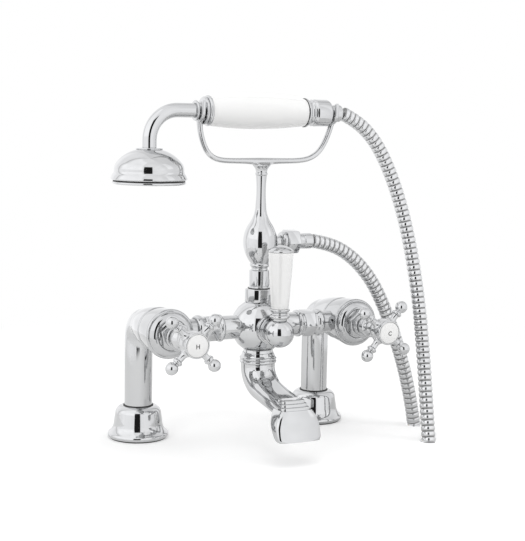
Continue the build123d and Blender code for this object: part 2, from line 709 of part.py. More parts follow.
def centre_body():
    """Ball-shaped body where both arms, the riser, the spout and the diverter meet."""
    ball = Pos(0, -BODY_FORWARD, AXIS_HEIGHT) * Sphere(BODY_R)
    above = upright() * rod(BODY_R, TOP_FLAT, AXIS_HEIGHT + BODY_R + 1)
    nipple = upright() * rod(NIPPLE_R, TOP_FLAT - 2, TOP_FLAT + NIPPLE_LENGTH)
    spout_boss = upright() * rod(SPOUT_BOSS_R, SPOUT_BOSS_END, AXIS_HEIGHT)
    front_boss = forward(0) * rod(FRONT_BOSS_R, BODY_FORWARD, FRONT_BOSS_END)
    solid = ball - above + nipple + spout_boss + front_boss
    solid -= upright() * rod(WATERWAY_R - 1.5, AXIS_HEIGHT, TOP_FLAT + NIPPLE_LENGTH + 1)
    solid -= upright() * rod(WATERWAY_R + 1.5, SPOUT_BOSS_END - 1, AXIS_HEIGHT)
    for side in SIDES.values():
        solid -= sideways(side) * rod(ARM_SPIGOT_R + CLEARANCE, ARM_SEAT - ARM_SPIGOT, ARM_SEAT + 1)
        solid -= sideways(side) * rod(BODY_R, ARM_SEAT, BODY_R + 1)
        solid -= sideways(side) * rod(WATERWAY_R, 0, ARM_SEAT)
    solid -= forward(0) * rod(PLUG_R + RUNNING, PLUG_BACK - GAP, FRONT_BOSS_END + 1)
    return solid


# Diverter

def diverter_gland():
    """Ring nut that keeps the diverter's plug in the body."""
    return forward(0) * ring(
        DIVERTER_STEM_R + RUNNING, GLAND_NUT_R, FRONT_BOSS_END, FRONT_BOSS_END + GLAND_NUT_LENGTH
    )


def diverter_plug():
    """Plug with an upward port and a stem that carries the hub."""
    plug = rod(PLUG_R, PLUG_BACK, PLUG_FRONT) + rod(DIVERTER_STEM_R, PLUG_FRONT, HUB_FORWARD - 2.0)
    for groove in (PLUG_BACK + 3.0, PLUG_FRONT - 5.0):
        plug -= ring(PLUG_R - 1.2, PLUG_R + 1, groove, groove + 2.0)
    solid = forward(0) * plug
    solid -= upright() * rod(WATERWAY_R - 1.5, AXIS_HEIGHT - 2, AXIS_HEIGHT + PLUG_R + 1)
    for side in SIDES.values():
        solid -= sideways(side) * rod(WATERWAY_R - 1.5, 0, PLUG_R + 1)
    return solid


def diverter_seals():
    """The two rings in the plug's grooves."""
    return [
        forward(0) * ring(PLUG_R - 1.2, PLUG_R, groove, groove + 2.0)
        for groove in (PLUG_BACK + 3.0, PLUG_FRONT - 5.0)
    ]


def diverter_hub():
    """Ball-shaped hub that turns with the lever, with a moulded socket on top."""
    ball = Pos(0, -HUB_FORWARD, AXIS_HEIGHT) * Sphere(HUB_R)
    neck_back = FRONT_BOSS_END + GLAND_NUT_LENGTH + GAP
    neck = forward(0) * rod(HUB_NECK_R, neck_back, HUB_FORWARD)
    behind = forward(0) * rod(HUB_R, neck_back - HUB_R, neck_back)
    low = AXIS_HEIGHT + HUB_R - 3.0
    top = LEVER_SOCKET_TOP
    socket = turned(
        (0, low),
        (6.4, low),
        (6.4, low + 3.0),
        ((8.6, low + 4.6), (7.0, low + 6.2)),
        ((6.6, low + 7.4), (7.4, low + 8.4)),
        (8.2, top - 1.8),
        ((8.7, top - 0.9), (8.2, top)),
        (0, top),
    )
    solid = ball + neck - behind + Pos(0, -HUB_FORWARD, 0) * socket
    solid -= forward(0) * rod(DIVERTER_STEM_R + RUNNING, neck_back - 1, HUB_FORWARD - 2.0)
    solid -= Pos(0, -HUB_FORWARD, 0) * rod(LEVER_ROD_R + RUNNING, LEVER_ROD_SEAT, top + 1)
    return solid


def lever_handle():
    """Tapered ceramic lever, bored for its rod."""
    middle = (LEVER_SOCKET_TOP + LEVER_TOP) / 2
    body = turned(
        (LEVER_ROD_R + CLEARANCE, LEVER_SOCKET_TOP),
        (LEVER_BOTTOM_R, LEVER_SOCKET_TOP),
        (((LEVER_BOTTOM_R + LEVER_TOP_R) / 2 + 0.3, middle), (LEVER_TOP_R, LEVER_TOP)),
        (LEVER_ROD_R + CLEARANCE, LEVER_TOP),
    )
    return Pos(0, -HUB_FORWARD, 0) * body


def lever_rod():
    return Pos(0, -HUB_FORWARD, 0) * rod(LEVER_ROD_R, LEVER_ROD_SEAT, LEVER_TOP + 3.0)


def lever_cap():
    """Domed end cap that screws on the rod."""
    cap = turned(
        (0, LEVER_TOP),
        (LEVER_TOP_R, LEVER_TOP),
        ((LEVER_TOP_R + 0.2, LEVER_TOP + 1.0), (LEVER_TOP_R - 0.4, LEVER_TOP + 1.9)),
        dome(LEVER_TOP_R - 0.4, LEVER_TOP + 1.9, LEVER_TOP + LEVER_CAP),
    )
    return Pos(0, -HUB_FORWARD, 0) * (cap - rod(LEVER_ROD_R + RUNNING, LEVER_TOP - 1, LEVER_TOP + 3.0))


# Spout

def spout_nut():
    """Ring nut with two beads between the body and the spout."""
    low, high = SPOUT_NUT_BOTTOM, SPOUT_NUT_TOP
    outside = turned(
        (0, low),
        (SPOUT_NUT_R - 1.0, low),
        ((SPOUT_NUT_R, low + 1.6), (SPOUT_NUT_R - 0.9, low + 3.2)),
        ((SPOUT_NUT_R, low + 4.6), (SPOUT_NUT_R - 1.2, low + 6.0)),
        (SPOUT_NUT_R - 2.0, high - 1.6),
        (SPOUT_BOSS_R + 1.2, high),
        (0, high),
    )
    inside = rod(SPOUT_BOSS_R + CLEARANCE, SPOUT_BOSS_END, high + 1)
    inside += rod(SPOUT_SPIGOT_R + CLEARANCE, low - 1, SPOUT_BOSS_END)
    return upright() * (outside - inside)


# Sections of the spout: the centre as shares of its reach and its drop, the turn from flat, the
# width and the depth as shares of the round neck, and how round it is: 1 is a circle.
SPOUT_SECTIONS = [
    (0.0, 0.0, 0, 1.0, 1.0, 1.0),
    (0.006, 0.23, 8, 1.0, 1.0, 1.0),
    (0.064, 0.504, 34, 0.993, 0.914, 0.96),
    (0.198, 0.741, 58, 0.98, 0.715, 0.92),
    (0.409, 0.867, 75, 0.967, 0.576, 0.88),
    (0.652, 0.97, 80, 0.974, 0.517, 0.86),
    (0.87, 1.089, 80, 0.927, 0.49, 0.84),
]


def spout_tube(inset):
    """Loft from the round neck to the flat throat, shrunk by an inset all round."""
    sections = []
    for reach, drop, tilt, width, depth, roundness in SPOUT_SECTIONS:
        wide = 2 * (SPOUT_NECK_R * width - inset)
        deep = 2 * (SPOUT_NECK_R * depth - inset)
        corner = roundness * min(wide, deep) / 2 - 0.05
        plan = RectangleRounded(wide, deep, corner)
        at = Pos(0, -BODY_FORWARD - SPOUT_REACH * reach, SPOUT_NUT_BOTTOM - SPOUT_DROP * drop)
        sections.append(at * Rot(-tilt, 0, 0) * plan)
    return loft(sections)


def mouth_plan(front, back, width, bow):
    """The mouth seen from above: straight back and sides, bowed front."""
    half = width / 2
    side_end = -front + 3.0 + bow
    corner_end = -front + bow
    return make_face([
        Line((-half + 2.0, -back), (half - 2.0, -back)),
        ThreePointArc((half - 2.0, -back), (half - 0.6, -back - 0.6), (half, -back - 2.0)),
        Line((half, -back - 2.0), (half, side_end)),
        ThreePointArc((half, side_end), (half - 0.9, side_end - 2.1), (half - 3.0, corner_end)),
        ThreePointArc((half - 3.0, corner_end), (0, -front), (-half + 3.0, corner_end)),
        ThreePointArc((-half + 3.0, corner_end), (-half + 0.9, side_end - 2.1), (-half, side_end)),
        Line((-half, side_end), (-half, -back - 2.0)),
        ThreePointArc((-half, -back - 2.0), (-half + 0.6, -back - 0.6), (-half + 2.0, -back)),
    ])


# Sections of the mouth: depth below its top as a share of its height, then how far its front
# leans, its back is undercut and its sides flare there, as shares too, and the front's bow.
MOUTH_SECTIONS = [
    (1.0, 1.0, 1.0, 0.76, 1.6),
    (0.92, 0.93, 0.94, 0.92, 1.6),
    (0.78, 0.79, 0.77, 1.0, 1.5),
    (0.56, 0.56, 0.52, 1.0, 1.4),
    (0.36, 0.42, 0.3, 0.84, 1.3),
    (0.16, 0.2, 0.14, 0.49, 1.1),
    (0.0, 0.0, 0.0, 0.0, 0.9),
]


def mouth_block(inset, bottom, top):
    """Mouth that flares and leans forward on its way down, shrunk by an inset."""
    height = top - bottom
    faces = []
    for down, lean, undercut, flare, bow in MOUTH_SECTIONS:
        front = MOUTH_TOP_FRONT + MOUTH_LEAN * lean
        back = MOUTH_TOP_FRONT - MOUTH_LENGTH + MOUTH_UNDERCUT * undercut
        width = MOUTH_TOP_WIDTH + (MOUTH_WIDTH - MOUTH_TOP_WIDTH) * flare
        plan = mouth_plan(front - inset, back + inset, width - 2 * inset, bow)
        faces.append(Pos(0, 0, top - height * down) * plan)
    return loft(faces, ruled=True)


def spout():
    """Spout: curved tube, stepped mouldings and a mouth that opens downward."""
    solid = spout_tube(0) + mouth_block(0, MOUTH_BOTTOM, MOUTH_TOP)
    for step in (1, 2, 3):
        front = MOUTH_TOP_FRONT - MOUTH_STEP_BACK * (step - 0.5)
        width = MOUTH_TOP_WIDTH - 2 * MOUTH_STEP * (step - 0.5)
        plan = mouth_plan(front, MOUTH_TOP_FRONT - MOUTH_LENGTH + 1.0, width, 0.9)
        base = MOUTH_TOP + MOUTH_STEP_RISE * (step - 1)
        solid += Pos(0, 0, base) * extrude(plan, MOUTH_STEP_RISE)
    bore_r = SPOUT_SPIGOT_R - SPOUT_WALL
    solid += upright() * rod(SPOUT_SPIGOT_R, SPOUT_NUT_BOTTOM - 1, SPOUT_BOSS_END)
    solid -= upright() * rod(bore_r, SPOUT_NUT_BOTTOM - 0.5, SPOUT_BOSS_END + 1)
    solid -= mouth_block(SPOUT_WALL, MOUTH_BOTTOM - 0.7, MOUTH_TOP - MOUTH_CEILING)
    return solid - spout_tube(SPOUT_NECK_R - bore_r + 0.2)


# Riser and cradle

def riser_nut():
    low = TOP_FLAT
    high = low + RISER_NUT_HEIGHT
    nut = hexagon(RISER_NUT_ACROSS_FLATS, low, high)
    return upright() * (nut - rod(NIPPLE_R + CLEARANCE, low - 1, high + 1))


def riser():
    """Vase-shaped riser with its side outlet, and the stem that carries the cradle."""
    waist = RISER_COLLAR_TOP + 6.2
    belly = OUTLET_HEIGHT - 1.5
    stem_foot = OUTLET_HEIGHT + 33.0
    stem_bead = STEM_TOP - 10.5
    body = turned(
        (0, RISER_BASE - 2.6),
        (NIPPLE_R - CLEARANCE, RISER_BASE - 2.6),
        (NIPPLE_R - CLEARANCE, RISER_BASE),
        (RISER_COLLAR_R + 0.5, RISER_BASE),
        (RISER_COLLAR_R + 0.5, RISER_BASE + 0.9),
        (RISER_COLLAR_R - 0.4, RISER_BASE + 1.5),
        (RISER_COLLAR_R, RISER_BASE + 2.4),
        (RISER_COLLAR_R, RISER_COLLAR_TOP - 0.8),
        (RISER_COLLAR_R - 0.8, RISER_COLLAR_TOP),
        ((VASE_WAIST_R - 0.8, RISER_COLLAR_TOP + 1.6), (VASE_WAIST_R + 0.2, RISER_COLLAR_TOP + 3.2)),
        ((VASE_WAIST_R + 0.8, RISER_COLLAR_TOP + 4.6), (VASE_WAIST_R, waist)),
        ((VASE_WAIST_R + 0.63 * (VASE_R - VASE_WAIST_R), waist + 0.434 * (belly - waist)), (VASE_R, belly)),
        ((VASE_R - 1.4, OUTLET_HEIGHT + 9.0), (VASE_R - 5.6, OUTLET_HEIGHT + 17.0)),
        ((STEM_R + 1.9, OUTLET_HEIGHT + 24.0), (STEM_R + 0.5, stem_foot)),
        ((STEM_R, (stem_foot + stem_bead) / 2), (STEM_R + 0.6, stem_bead)),
        (STEM_R + 0.6, STEM_TOP - 8.4),
        ((STEM_R + 1.4, STEM_TOP - 7.2), (STEM_R + 0.9, STEM_TOP - 6.0)),
        ((STEM_R + 1.8, STEM_TOP - 2.4), (STEM_TOP_R, STEM_TOP)),
        (0, STEM_TOP),
    )
    stub = rod(STUB_R, 0, STUB_END)
    solid = upright() * body + lengthwise(OUTLET_HEIGHT) * stub
    solid -= upright() * rod(RISER_BORE_R, RISER_BASE - 4, OUTLET_HEIGHT)
    solid -= lengthwise(OUTLET_HEIGHT) * rod(STUB_R - 1.7, 0, STUB_END + 1)
    return solid + upright() * rod(YOKE_PIN_R, STEM_TOP - 1, STEM_TOP + YOKE_PIN)


def fork(x, inner, wall):
    """U-shaped fork, open upward, in the plane across the handset."""
    outer = inner + wall
    top = FORK_RISE
    tip = wall / 2
    face = make_face([
        ThreePointArc((-outer, 0), (0, -outer), (outer, 0)),
        Line((outer, 0), (outer, top - tip)),
        ThreePointArc((outer, top - tip), (inner + tip, top), (inner, top - tip)),
        Line((inner, top - tip), (inner, 0)),
        ThreePointArc((inner, 0), (0, -inner), (-inner, 0)),
        Line((-inner, 0), (-inner, top - tip)),
        ThreePointArc((-inner, top - tip), (-inner - tip, top), (-outer, top - tip)),
        Line((-outer, top - tip), (-outer, 0)),
    ])
    across = Plane(origin=(x - FORK_WIDTH / 2, -BODY_FORWARD, HANDSET_HEIGHT), x_dir=(0, 1, 0), z_dir=(1, 0, 0))
    return extrude(across * face, FORK_WIDTH)


def most_radii(route):
    """For each corner of a route, the largest arc that its two runs allow."""
    radii = []
    for before, at, after in zip(route, route[1:], route[2:]):
        first = Vector(*at) - Vector(*before)
        second = Vector(*after) - Vector(*at)
        turn = math.radians(first.get_angle(second))
        shorter = min(first.length, second.length)
        radii.append(0.45 * shorter / math.tan(turn / 2))
    return radii


def bar_middle():
    """The bar's thicker middle, which tapers into the bar on both sides."""
    sections = []
    for share, grown in ((-1, -0.1), (-0.5, 0.6), (0, 1), (0.5, 0.6), (1, -0.1)):
        half_height = YOKE_HALF_HEIGHT + grown * (YOKE_MIDDLE_HALF_HEIGHT - YOKE_HALF_HEIGHT)
        half_depth = YOKE_HALF_DEPTH + grown * (YOKE_MIDDLE_HALF_DEPTH - YOKE_HALF_DEPTH)
        sunk = 0.8 * (half_height - YOKE_HALF_HEIGHT)
        origin = (share * YOKE_MIDDLE_REACH, 0, YOKE_HEIGHT - sunk)
        at = Plane(origin=origin, x_dir=(0, 1, 0), z_dir=(1, 0, 0))
        sections.append(at * Ellipse(half_depth, half_height))
    return loft(sections)


def cradle_yoke():
    """One curved bar on the riser, with a fork at each end."""
    inner = GROOVE_R + GAP
    foot = HANDSET_HEIGHT - inner - FORK_WALL / 2
    rise = foot - YOKE_HEIGHT
    corners = [
        (-LEFT_FORK, 0, foot),
        (-LEFT_FORK + 0.4, 0, YOKE_HEIGHT + 0.731 * rise),
        (-LEFT_FORK + 10.2, 0, YOKE_HEIGHT),
        (RIGHT_FORK - 14.7, 0, YOKE_HEIGHT),
        (RIGHT_FORK - 1.3, 0, YOKE_HEIGHT + 0.822 * rise),
        (RIGHT_FORK, 0, foot),
    ]
    radii = [min(wanted, most) for wanted, most in zip((16.0, 15.0, 20.0, 12.0), most_radii(corners))]
    path = FilletPolyline(*corners, radius=radii)
    start = Plane(origin=path @ 0, x_dir=(0, 1, 0), z_dir=path % 0)
    bar = sweep(start * Ellipse(YOKE_HALF_DEPTH, YOKE_HALF_HEIGHT), path=path)
    seat = turned(
        (0, STEM_TOP),
        (STEM_TOP_R, STEM_TOP),
        (STEM_TOP_R, STEM_TOP + 0.8),
        dome(STEM_TOP_R, STEM_TOP + 0.8, YOKE_HEIGHT + YOKE_HALF_HEIGHT + 0.4),
    )
    under = rod(2 * STEM_TOP_R, STEM_TOP - YOKE_MIDDLE_HALF_HEIGHT, STEM_TOP)
    solid = upright() * (bar + bar_middle() - under + seat)
    solid += fork(-LEFT_FORK, inner, FORK_WALL)
    solid += fork(RIGHT_FORK, inner, FORK_WALL)
    return solid - upright() * rod(YOKE_PIN_R + CLEARANCE, STEM_TOP - 1, STEM_TOP + YOKE_PIN + CLEARANCE)


# Hand shower, along X at its own height

def front_ferrule():
    """Moulded ferrule between the shower's neck and the handle."""
    left, right = -FERRULE_LEFT_END, -HANDLE_LEFT
    body = turned(
        (PIPE_R + CLEARANCE, left),
        (GROOVE_R, left),
        ((GROOVE_R + 1.4, left + 0.9), (GROOVE_R, -FERRULE_GROOVE_LEFT)),
        (GROOVE_R, -FERRULE_GROOVE_RIGHT),
        (FERRULE_R - 1.0, -FERRULE_GROOVE_RIGHT),
        ((FERRULE_R + 0.1, -FERRULE_GROOVE_RIGHT + 1.4), (FERRULE_R - 0.9, -FERRULE_GROOVE_RIGHT + 2.8)),
        ((FERRULE_R + 1.1, right - 1.6), (HANDLE_END_R, right)),
        (PIPE_R + CLEARANCE, right),
    )
    return lengthwise(HANDSET_HEIGHT) * body


def handle():
    """Barrel-shaped ceramic handle, bored for its tube."""
    belly_at = -8.0
    body = turned(
        (HANDLE_BORE_R, -HANDLE_LEFT),
        (HANDLE_END_R, -HANDLE_LEFT),
        ((HANDLE_BELLY_R - 0.5, -30.0), (HANDLE_BELLY_R, belly_at)),
        ((HANDLE_BELLY_R - 0.9, 17.0), (HANDLE_REAR_R, HANDLE_RIGHT)),
        (HANDLE_BORE_R, HANDLE_RIGHT),
    )
    return lengthwise(HANDSET_HEIGHT) * body


def handle_tube():
    """Water tube through the handle, from the neck's end to the rear ferrule."""
    return lengthwise(HANDSET_HEIGHT) * ring(PIPE_BORE_R, PIPE_R, -HANDLE_LEFT, REAR_BEADS_END)


def gooseneck():
    """Bent pipe from the front ferrule down to the rose."""
    right, low = -HANDLE_LEFT, ROSE_TOP

    def bar(radius, beyond):
        path = FilletPolyline(
            (right + beyond, 0, HANDSET_HEIGHT),
            (-ROSE_X, 0, HANDSET_HEIGHT),
            (-ROSE_X, 0, low - beyond),
            radius=NECK_BEND_R,
        )
        return sweep(Plane(origin=path @ 0, z_dir=path % 0) * Circle(radius), path=path)

    return upright() * (bar(PIPE_R, 0) - bar(PIPE_BORE_R, 1))


def rear_ferrule():
    """Beads, plain cylinder and the neck that lies in the right fork."""
    low = HANDLE_RIGHT
    neck_end = HOSE_NUT_START
    body = turned(
        (PIPE_R + CLEARANCE, low),
        (HANDLE_REAR_R, low),
        ((HANDLE_REAR_R + 0.7, low + 1.5), (HANDLE_REAR_R - 0.6, low + 3.0)),
        (9.8, low + 3.8),
        (9.8, low + 4.8),
        ((11.6, low + 6.4), (9.8, low + 8.0)),
        (FERRULE_R - 0.7, REAR_BEADS_END - 1.2),
        (FERRULE_R, REAR_BEADS_END),
        (FERRULE_R, REAR_CYLINDER_END),
        ((FERRULE_R - 1.4, REAR_END - 1.0), (GROOVE_R + 1.0, REAR_END)),
        (GROOVE_R, REAR_END),
        (GROOVE_R, neck_end),
        (PIPE_BORE_R, neck_end),
        (PIPE_BORE_R, REAR_BEADS_END),
        (PIPE_R + CLEARANCE, REAR_BEADS_END),
    )
    return lengthwise(HANDSET_HEIGHT) * body


def at_rose(solid):
    return Pos(-ROSE_X, -BODY_FORWARD, 0) * solid


def rose_collar():
    """Thin ring nut between the neck and the rose."""
    high = ROSE_COLLAR_TOP
    low = high - ROSE_COLLAR_HEIGHT
    return at_rose(turned(
        (PIPE_R + CLEARANCE, low),
        (ROSE_COLLAR_R - 0.6, low),
        ((ROSE_COLLAR_R, low + 0.8), (ROSE_COLLAR_R - 1.6, low + 1.6)),
        (PIPE_R + 1.4, high),
        (PIPE_R + CLEARANCE, high),
    ))


def rose_bell():
    """Bell of the rose with its flat rim, a thin hollow shell."""
    outer = [
        (PIPE_BORE_R, ROSE_TOP),
        (ROSE_COLLAR_R - 0.6, ROSE_TOP),
        ((ROSE_SHOULDER_R - 6.2, ROSE_TOP - 8.0), (ROSE_SHOULDER_R - 1.8, ROSE_SHOULDER + 6.6)),
        ((ROSE_SHOULDER_R - 0.3, ROSE_SHOULDER + 3.4), (ROSE_SHOULDER_R, ROSE_SHOULDER)),
        (ROSE_RIM_R - 1.6, ROSE_RIM_TOP),
        ((ROSE_RIM_R, ROSE_RIM_TOP - 1.6), (ROSE_RIM_R, ROSE_RIM_BOTTOM)),
    ]
    wall = ROSE_WALL
    inner = [
        (ROSE_SHOULDER_R - wall, ROSE_RIM_BOTTOM),
        (ROSE_SHOULDER_R - wall, ROSE_SHOULDER),
        ((ROSE_SHOULDER_R - 8.4, ROSE_TOP - 9.8), (ROSE_COLLAR_R - 1.4, ROSE_TOP - 2.2 * wall)),
        (PIPE_BORE_R, ROSE_TOP - 2.2 * wall),
    ]
    return at_rose(turned(*outer, *inner))


def rose_gasket():
    return at_rose(ring(ROSE_SHOULDER_R - 3.0, ROSE_GASKET_R, ROSE_GASKET_BOTTOM, ROSE_RIM_BOTTOM))


def rose_plate():
    """Spray plate with rings of holes."""
    low, high = ROSE_PLATE_BOTTOM, ROSE_GASKET_BOTTOM
    plate = turned(
        (0, low + 0.4),
        (ROSE_PLATE_R - 5.0, low + 0.4),
        (ROSE_PLATE_R - 4.4, low),
        (ROSE_PLATE_R - 0.7, low),
        ((ROSE_PLATE_R, low + 0.6), (ROSE_PLATE_R - 0.2, high)),
        (0, high),
    )
    for ring_number in range(1, SPRAY_RINGS + 1):
        radius = SPRAY_RING_PITCH * ring_number
        count = 6 * ring_number
        for hole in PolarLocations(radius, count):
            plate -= hole * rod(SPRAY_HOLE_R, low - 1, high + 1)
    return at_rose(plate)


# Hose and its ends

def outlet_nut():
    """Hexagonal nut that holds the hose's lower end on the riser's outlet."""
    low, high = STUB_END - 7.0, OUTLET_NUT_END
    nut = hexagon(OUTLET_NUT_ACROSS_FLATS, STUB_END, high)
    nut += turned(
        (0, low + 3.0),
        (8.0, low + 3.0),
        ((9.0, low + 5.0), (8.4, STUB_END)),
        (0, STUB_END),
    )
    nut -= rod(STUB_R + CLEARANCE, low, STUB_END)
    nut -= rod(HOSE_FERRULE_R - 1.5 + CLEARANCE, STUB_END - 1, high + 1)
    nut -= rod(HOSE_FERRULE_R + CLEARANCE, STUB_END, high - 4.0)
    return lengthwise(OUTLET_HEIGHT) * nut


def hose_washer_lower():
    return lengthwise(OUTLET_HEIGHT) * ring(3.4, HOSE_FERRULE_R, STUB_END, STUB_END + HOSE_WASHER)


def hose_ferrule_lower():
    """Turned sleeve at the hose's lower end, flanged inside the nut."""
    low = STUB_END + HOSE_WASHER
    flange_end = OUTLET_NUT_END - 4.0
    body = turned(
        (3.4, low),
        (HOSE_FERRULE_R, low),
        (HOSE_FERRULE_R, flange_end),
        (HOSE_FERRULE_R - 1.5, flange_end),
        (HOSE_FERRULE_R - 1.5, OUTLET_NUT_END + CLEARANCE),
        (HOSE_FERRULE_R, OUTLET_NUT_END + CLEARANCE),
        (HOSE_FERRULE_R, HOSE_FERRULE_END - 1.6),
        (HOSE_FERRULE_R - 0.6, HOSE_FERRULE_END),
        (3.4, HOSE_FERRULE_END),
    )
    return lengthwise(OUTLET_HEIGHT) * body


def hose_washer_upper():
    low = HOSE_NUT_START
    return lengthwise(HANDSET_HEIGHT) * ring(PIPE_BORE_R, GROOVE_R - 1.6, low, low + HOSE_WASHER)


def hose_nut_upper():
    """Conical nut that holds the hose on the handset."""
    low, high = HOSE_NUT_START, HOSE_NUT_END
    body = turned(
        (GROOVE_R - 1.6, low),
        (HOSE_NUT_R, low),
        (HOSE_NUT_R, low + 3.6),
        (HOSE_R + 0.4, high),
        (PIPE_BORE_R, high),
        (PIPE_BORE_R, low + HOSE_WASHER),
        (GROOVE_R - 1.6, low + HOSE_WASHER),
    )
    return lengthwise(HANDSET_HEIGHT) * body


# The hose leaves the riser to the side, hangs down past the front of the deck, turns in a wide
# loop and climbs to the rear end of the handset.
HOSE_ROUTE = [
    (LOWER_HOSE_START, -BODY_FORWARD, OUTLET_HEIGHT),
    (68.4, -60.0, 177.0),
    (85.8, -60.0, 169.3),
    (102.3, -60.0, 156.4),
    (117.8, -60.0, 138.0),
    (131.9, -60.0, 111.5),
    (147.4, -59.0, 76.8),
    (161.0, -57.6, 37.2),
    (170.6, -56.4, -6.0),
    (178.8, -54.9, -54.3),
    (183.1, -53.4, -103.2),
    (184.7, -52.0, -152.4),
    (184.7, -51.0, -201.8),
    (184.4, -50.6, -251.0),
    (181.1, -58.1, -281.5),
    (172.2, -78.5, -303.8),
    (160.0, -106.5, -312.0),
    (147.8, -134.5, -303.8),
    (138.9, -154.9, -281.5),
    (135.6, -162.4, -251.0),
    (136.2, -159.6, -199.1),
    (138.0, -152.0, -147.5),
    (140.8, -140.8, -96.4),
    (144.4, -127.1, -45.9),
    (148.6, -112.0, 4.0),
    (152.4, -99.0, 46.0),
    (155.0, -87.2, 88.0),
    (155.0, -77.2, 128.6),
    (151.6, -69.0, 167.5),
    (144.6, -63.4, 203.9),
    (133.3, -60.8, 236.1),
    (120.2, -60.2, 260.8),
    (107.6, -60.0, 276.3),
    (93.3, -60.0, 287.3),
    (UPPER_HOSE_START, -BODY_FORWARD, HANDSET_HEIGHT),
]


def hose():
    """Flexible metal hose as a plain tube along its route."""
    radii = most_radii(HOSE_ROUTE)
    path = FilletPolyline(*HOSE_ROUTE, radius=radii)
    tube = sweep(Plane(origin=path @ 0, z_dir=path % 0) * Circle(HOSE_R), path=path)
    print("hose: length", round(path.length, 1), "tightest", round(min(radii), 1))
    print("hose: radii", [round(r) for r in radii])
    print("hose: volume over section times length", round(tube.volume / (math.pi * HOSE_R**2 * path.length), 4))
    return tube


both = (-LEG_X, LEG_X)
save("threaded_tails", *[threaded_tail(x) for x in both])
save("deck_seals", *[deck_seal(x) for x in both])
save("deck_washers", *[deck_washer(x) for x in both])
save("backnuts", *[backnut(x) for x in both])
save("bonnets", *[bonnet(x) for x in both])
save("headworks", *[headwork(x) for x in both])
save("seat_seals", *[seat_seal(x) for x in both])
save("fixed_discs", *[fixed_disc(x) for x in both])
save("arm_nuts", *[arm_nut(side) for side in SIDES.values()])

for name, side in SIDES.items():
    x = side * LEG_X
    turn = HOT_CROSS_TURN if name == "hot" else COLD_CROSS_TURN
    save(f"{name}_flange", flange(x))
    save(f"{name}_pillar", pillar(x))
    save(f"{name}_valve_body", valve_body(side))
    save(f"{name}_moving_disc", moving_disc(x))
    save(f"{name}_spindle", spindle(x))
    save(f"{name}_spindle_seal", spindle_seal(x))
    save(f"{name}_crosshead", crosshead(x, turn))
    save(f"{name}_handle_screw", handle_screw(x))
    save(f"{name}_index_ring", index_ring(x))
    save(f"{name}_index_disc", index_disc(x))
    save(f"{name}_arm", arm(side))

save("centre_body", centre_body())
save("diverter_gland", diverter_gland())
save("diverter_plug", diverter_plug())
save("diverter_seals", *diverter_seals())
save("diverter_hub", diverter_hub())
save("lever_handle", lever_handle())
save("lever_rod", lever_rod())
save("lever_cap", lever_cap())
save("spout_nut", spout_nut())
save("spout", spout())
save("riser_nut", riser_nut())
save("riser", riser())
save("cradle_yoke", cradle_yoke())
save("outlet_nut", outlet_nut())
save("hose_washer_lower", hose_washer_lower())
save("hose_ferrule_lower", hose_ferrule_lower())
save("hose", hose())
save("hose_nut_upper", hose_nut_upper())
save("hose_washer_upper", hose_washer_upper())
save("gooseneck", gooseneck())
save("front_ferrule", front_ferrule())
save("handle", handle())
save("handle_tube", handle_tube())
save("rear_ferrule", rear_ferrule())
save("rose_collar", rose_collar())
save("rose_bell", rose_bell())
save("rose_gasket", rose_gasket())
save("rose_plate", rose_plate())
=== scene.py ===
# %% [markdown]
# # A bath mixer with a hand shower
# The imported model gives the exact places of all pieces. This notebook dresses it: nearly every visible
# piece is turned, swept or lofted again with fine, smooth faces, because polished metal shows every facet.
# Everything is in the model's own frame: the deck is the plane z = 0, the taps face -Y, and the hot
# tap is at -X.

# %% Frame
import bisect
import bmesh
import bpy
import json
import math
from mathutils import Matrix, Vector


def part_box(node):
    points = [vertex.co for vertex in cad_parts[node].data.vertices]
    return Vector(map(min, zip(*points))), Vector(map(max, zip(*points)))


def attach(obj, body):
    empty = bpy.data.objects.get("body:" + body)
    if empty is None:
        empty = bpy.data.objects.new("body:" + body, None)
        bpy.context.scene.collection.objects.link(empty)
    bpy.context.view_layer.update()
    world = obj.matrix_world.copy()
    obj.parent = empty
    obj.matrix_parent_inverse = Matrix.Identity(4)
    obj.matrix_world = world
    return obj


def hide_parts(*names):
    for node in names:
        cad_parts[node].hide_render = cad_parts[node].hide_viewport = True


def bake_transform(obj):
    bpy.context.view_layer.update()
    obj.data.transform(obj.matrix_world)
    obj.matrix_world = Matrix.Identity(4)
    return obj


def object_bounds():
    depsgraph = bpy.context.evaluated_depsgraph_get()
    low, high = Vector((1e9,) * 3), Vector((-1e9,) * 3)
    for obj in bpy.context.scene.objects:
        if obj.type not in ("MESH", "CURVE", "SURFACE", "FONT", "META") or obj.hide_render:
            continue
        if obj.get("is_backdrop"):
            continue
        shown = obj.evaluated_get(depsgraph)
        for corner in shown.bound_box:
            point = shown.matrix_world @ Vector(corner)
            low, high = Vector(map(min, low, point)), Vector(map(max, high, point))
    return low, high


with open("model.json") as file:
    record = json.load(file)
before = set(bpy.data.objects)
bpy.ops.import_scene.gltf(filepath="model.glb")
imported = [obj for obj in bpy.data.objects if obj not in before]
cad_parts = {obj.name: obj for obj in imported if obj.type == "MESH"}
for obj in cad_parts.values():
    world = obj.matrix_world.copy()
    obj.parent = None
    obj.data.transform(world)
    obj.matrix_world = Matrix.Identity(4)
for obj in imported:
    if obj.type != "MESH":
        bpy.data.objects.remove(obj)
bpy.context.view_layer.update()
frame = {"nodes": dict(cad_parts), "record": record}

# %% [markdown]
# ## Places
# The sizes here are in millimetres, as a maker's drawing has them, and are turned into metres when a
# piece is finished. A turned piece is drawn upright round the Z axis, and one of these places then lays
# it down: forward for what points at the bather, sideways for the arms, lengthwise for the hand shower.
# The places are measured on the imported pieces, so the dressing sits where the model has them.

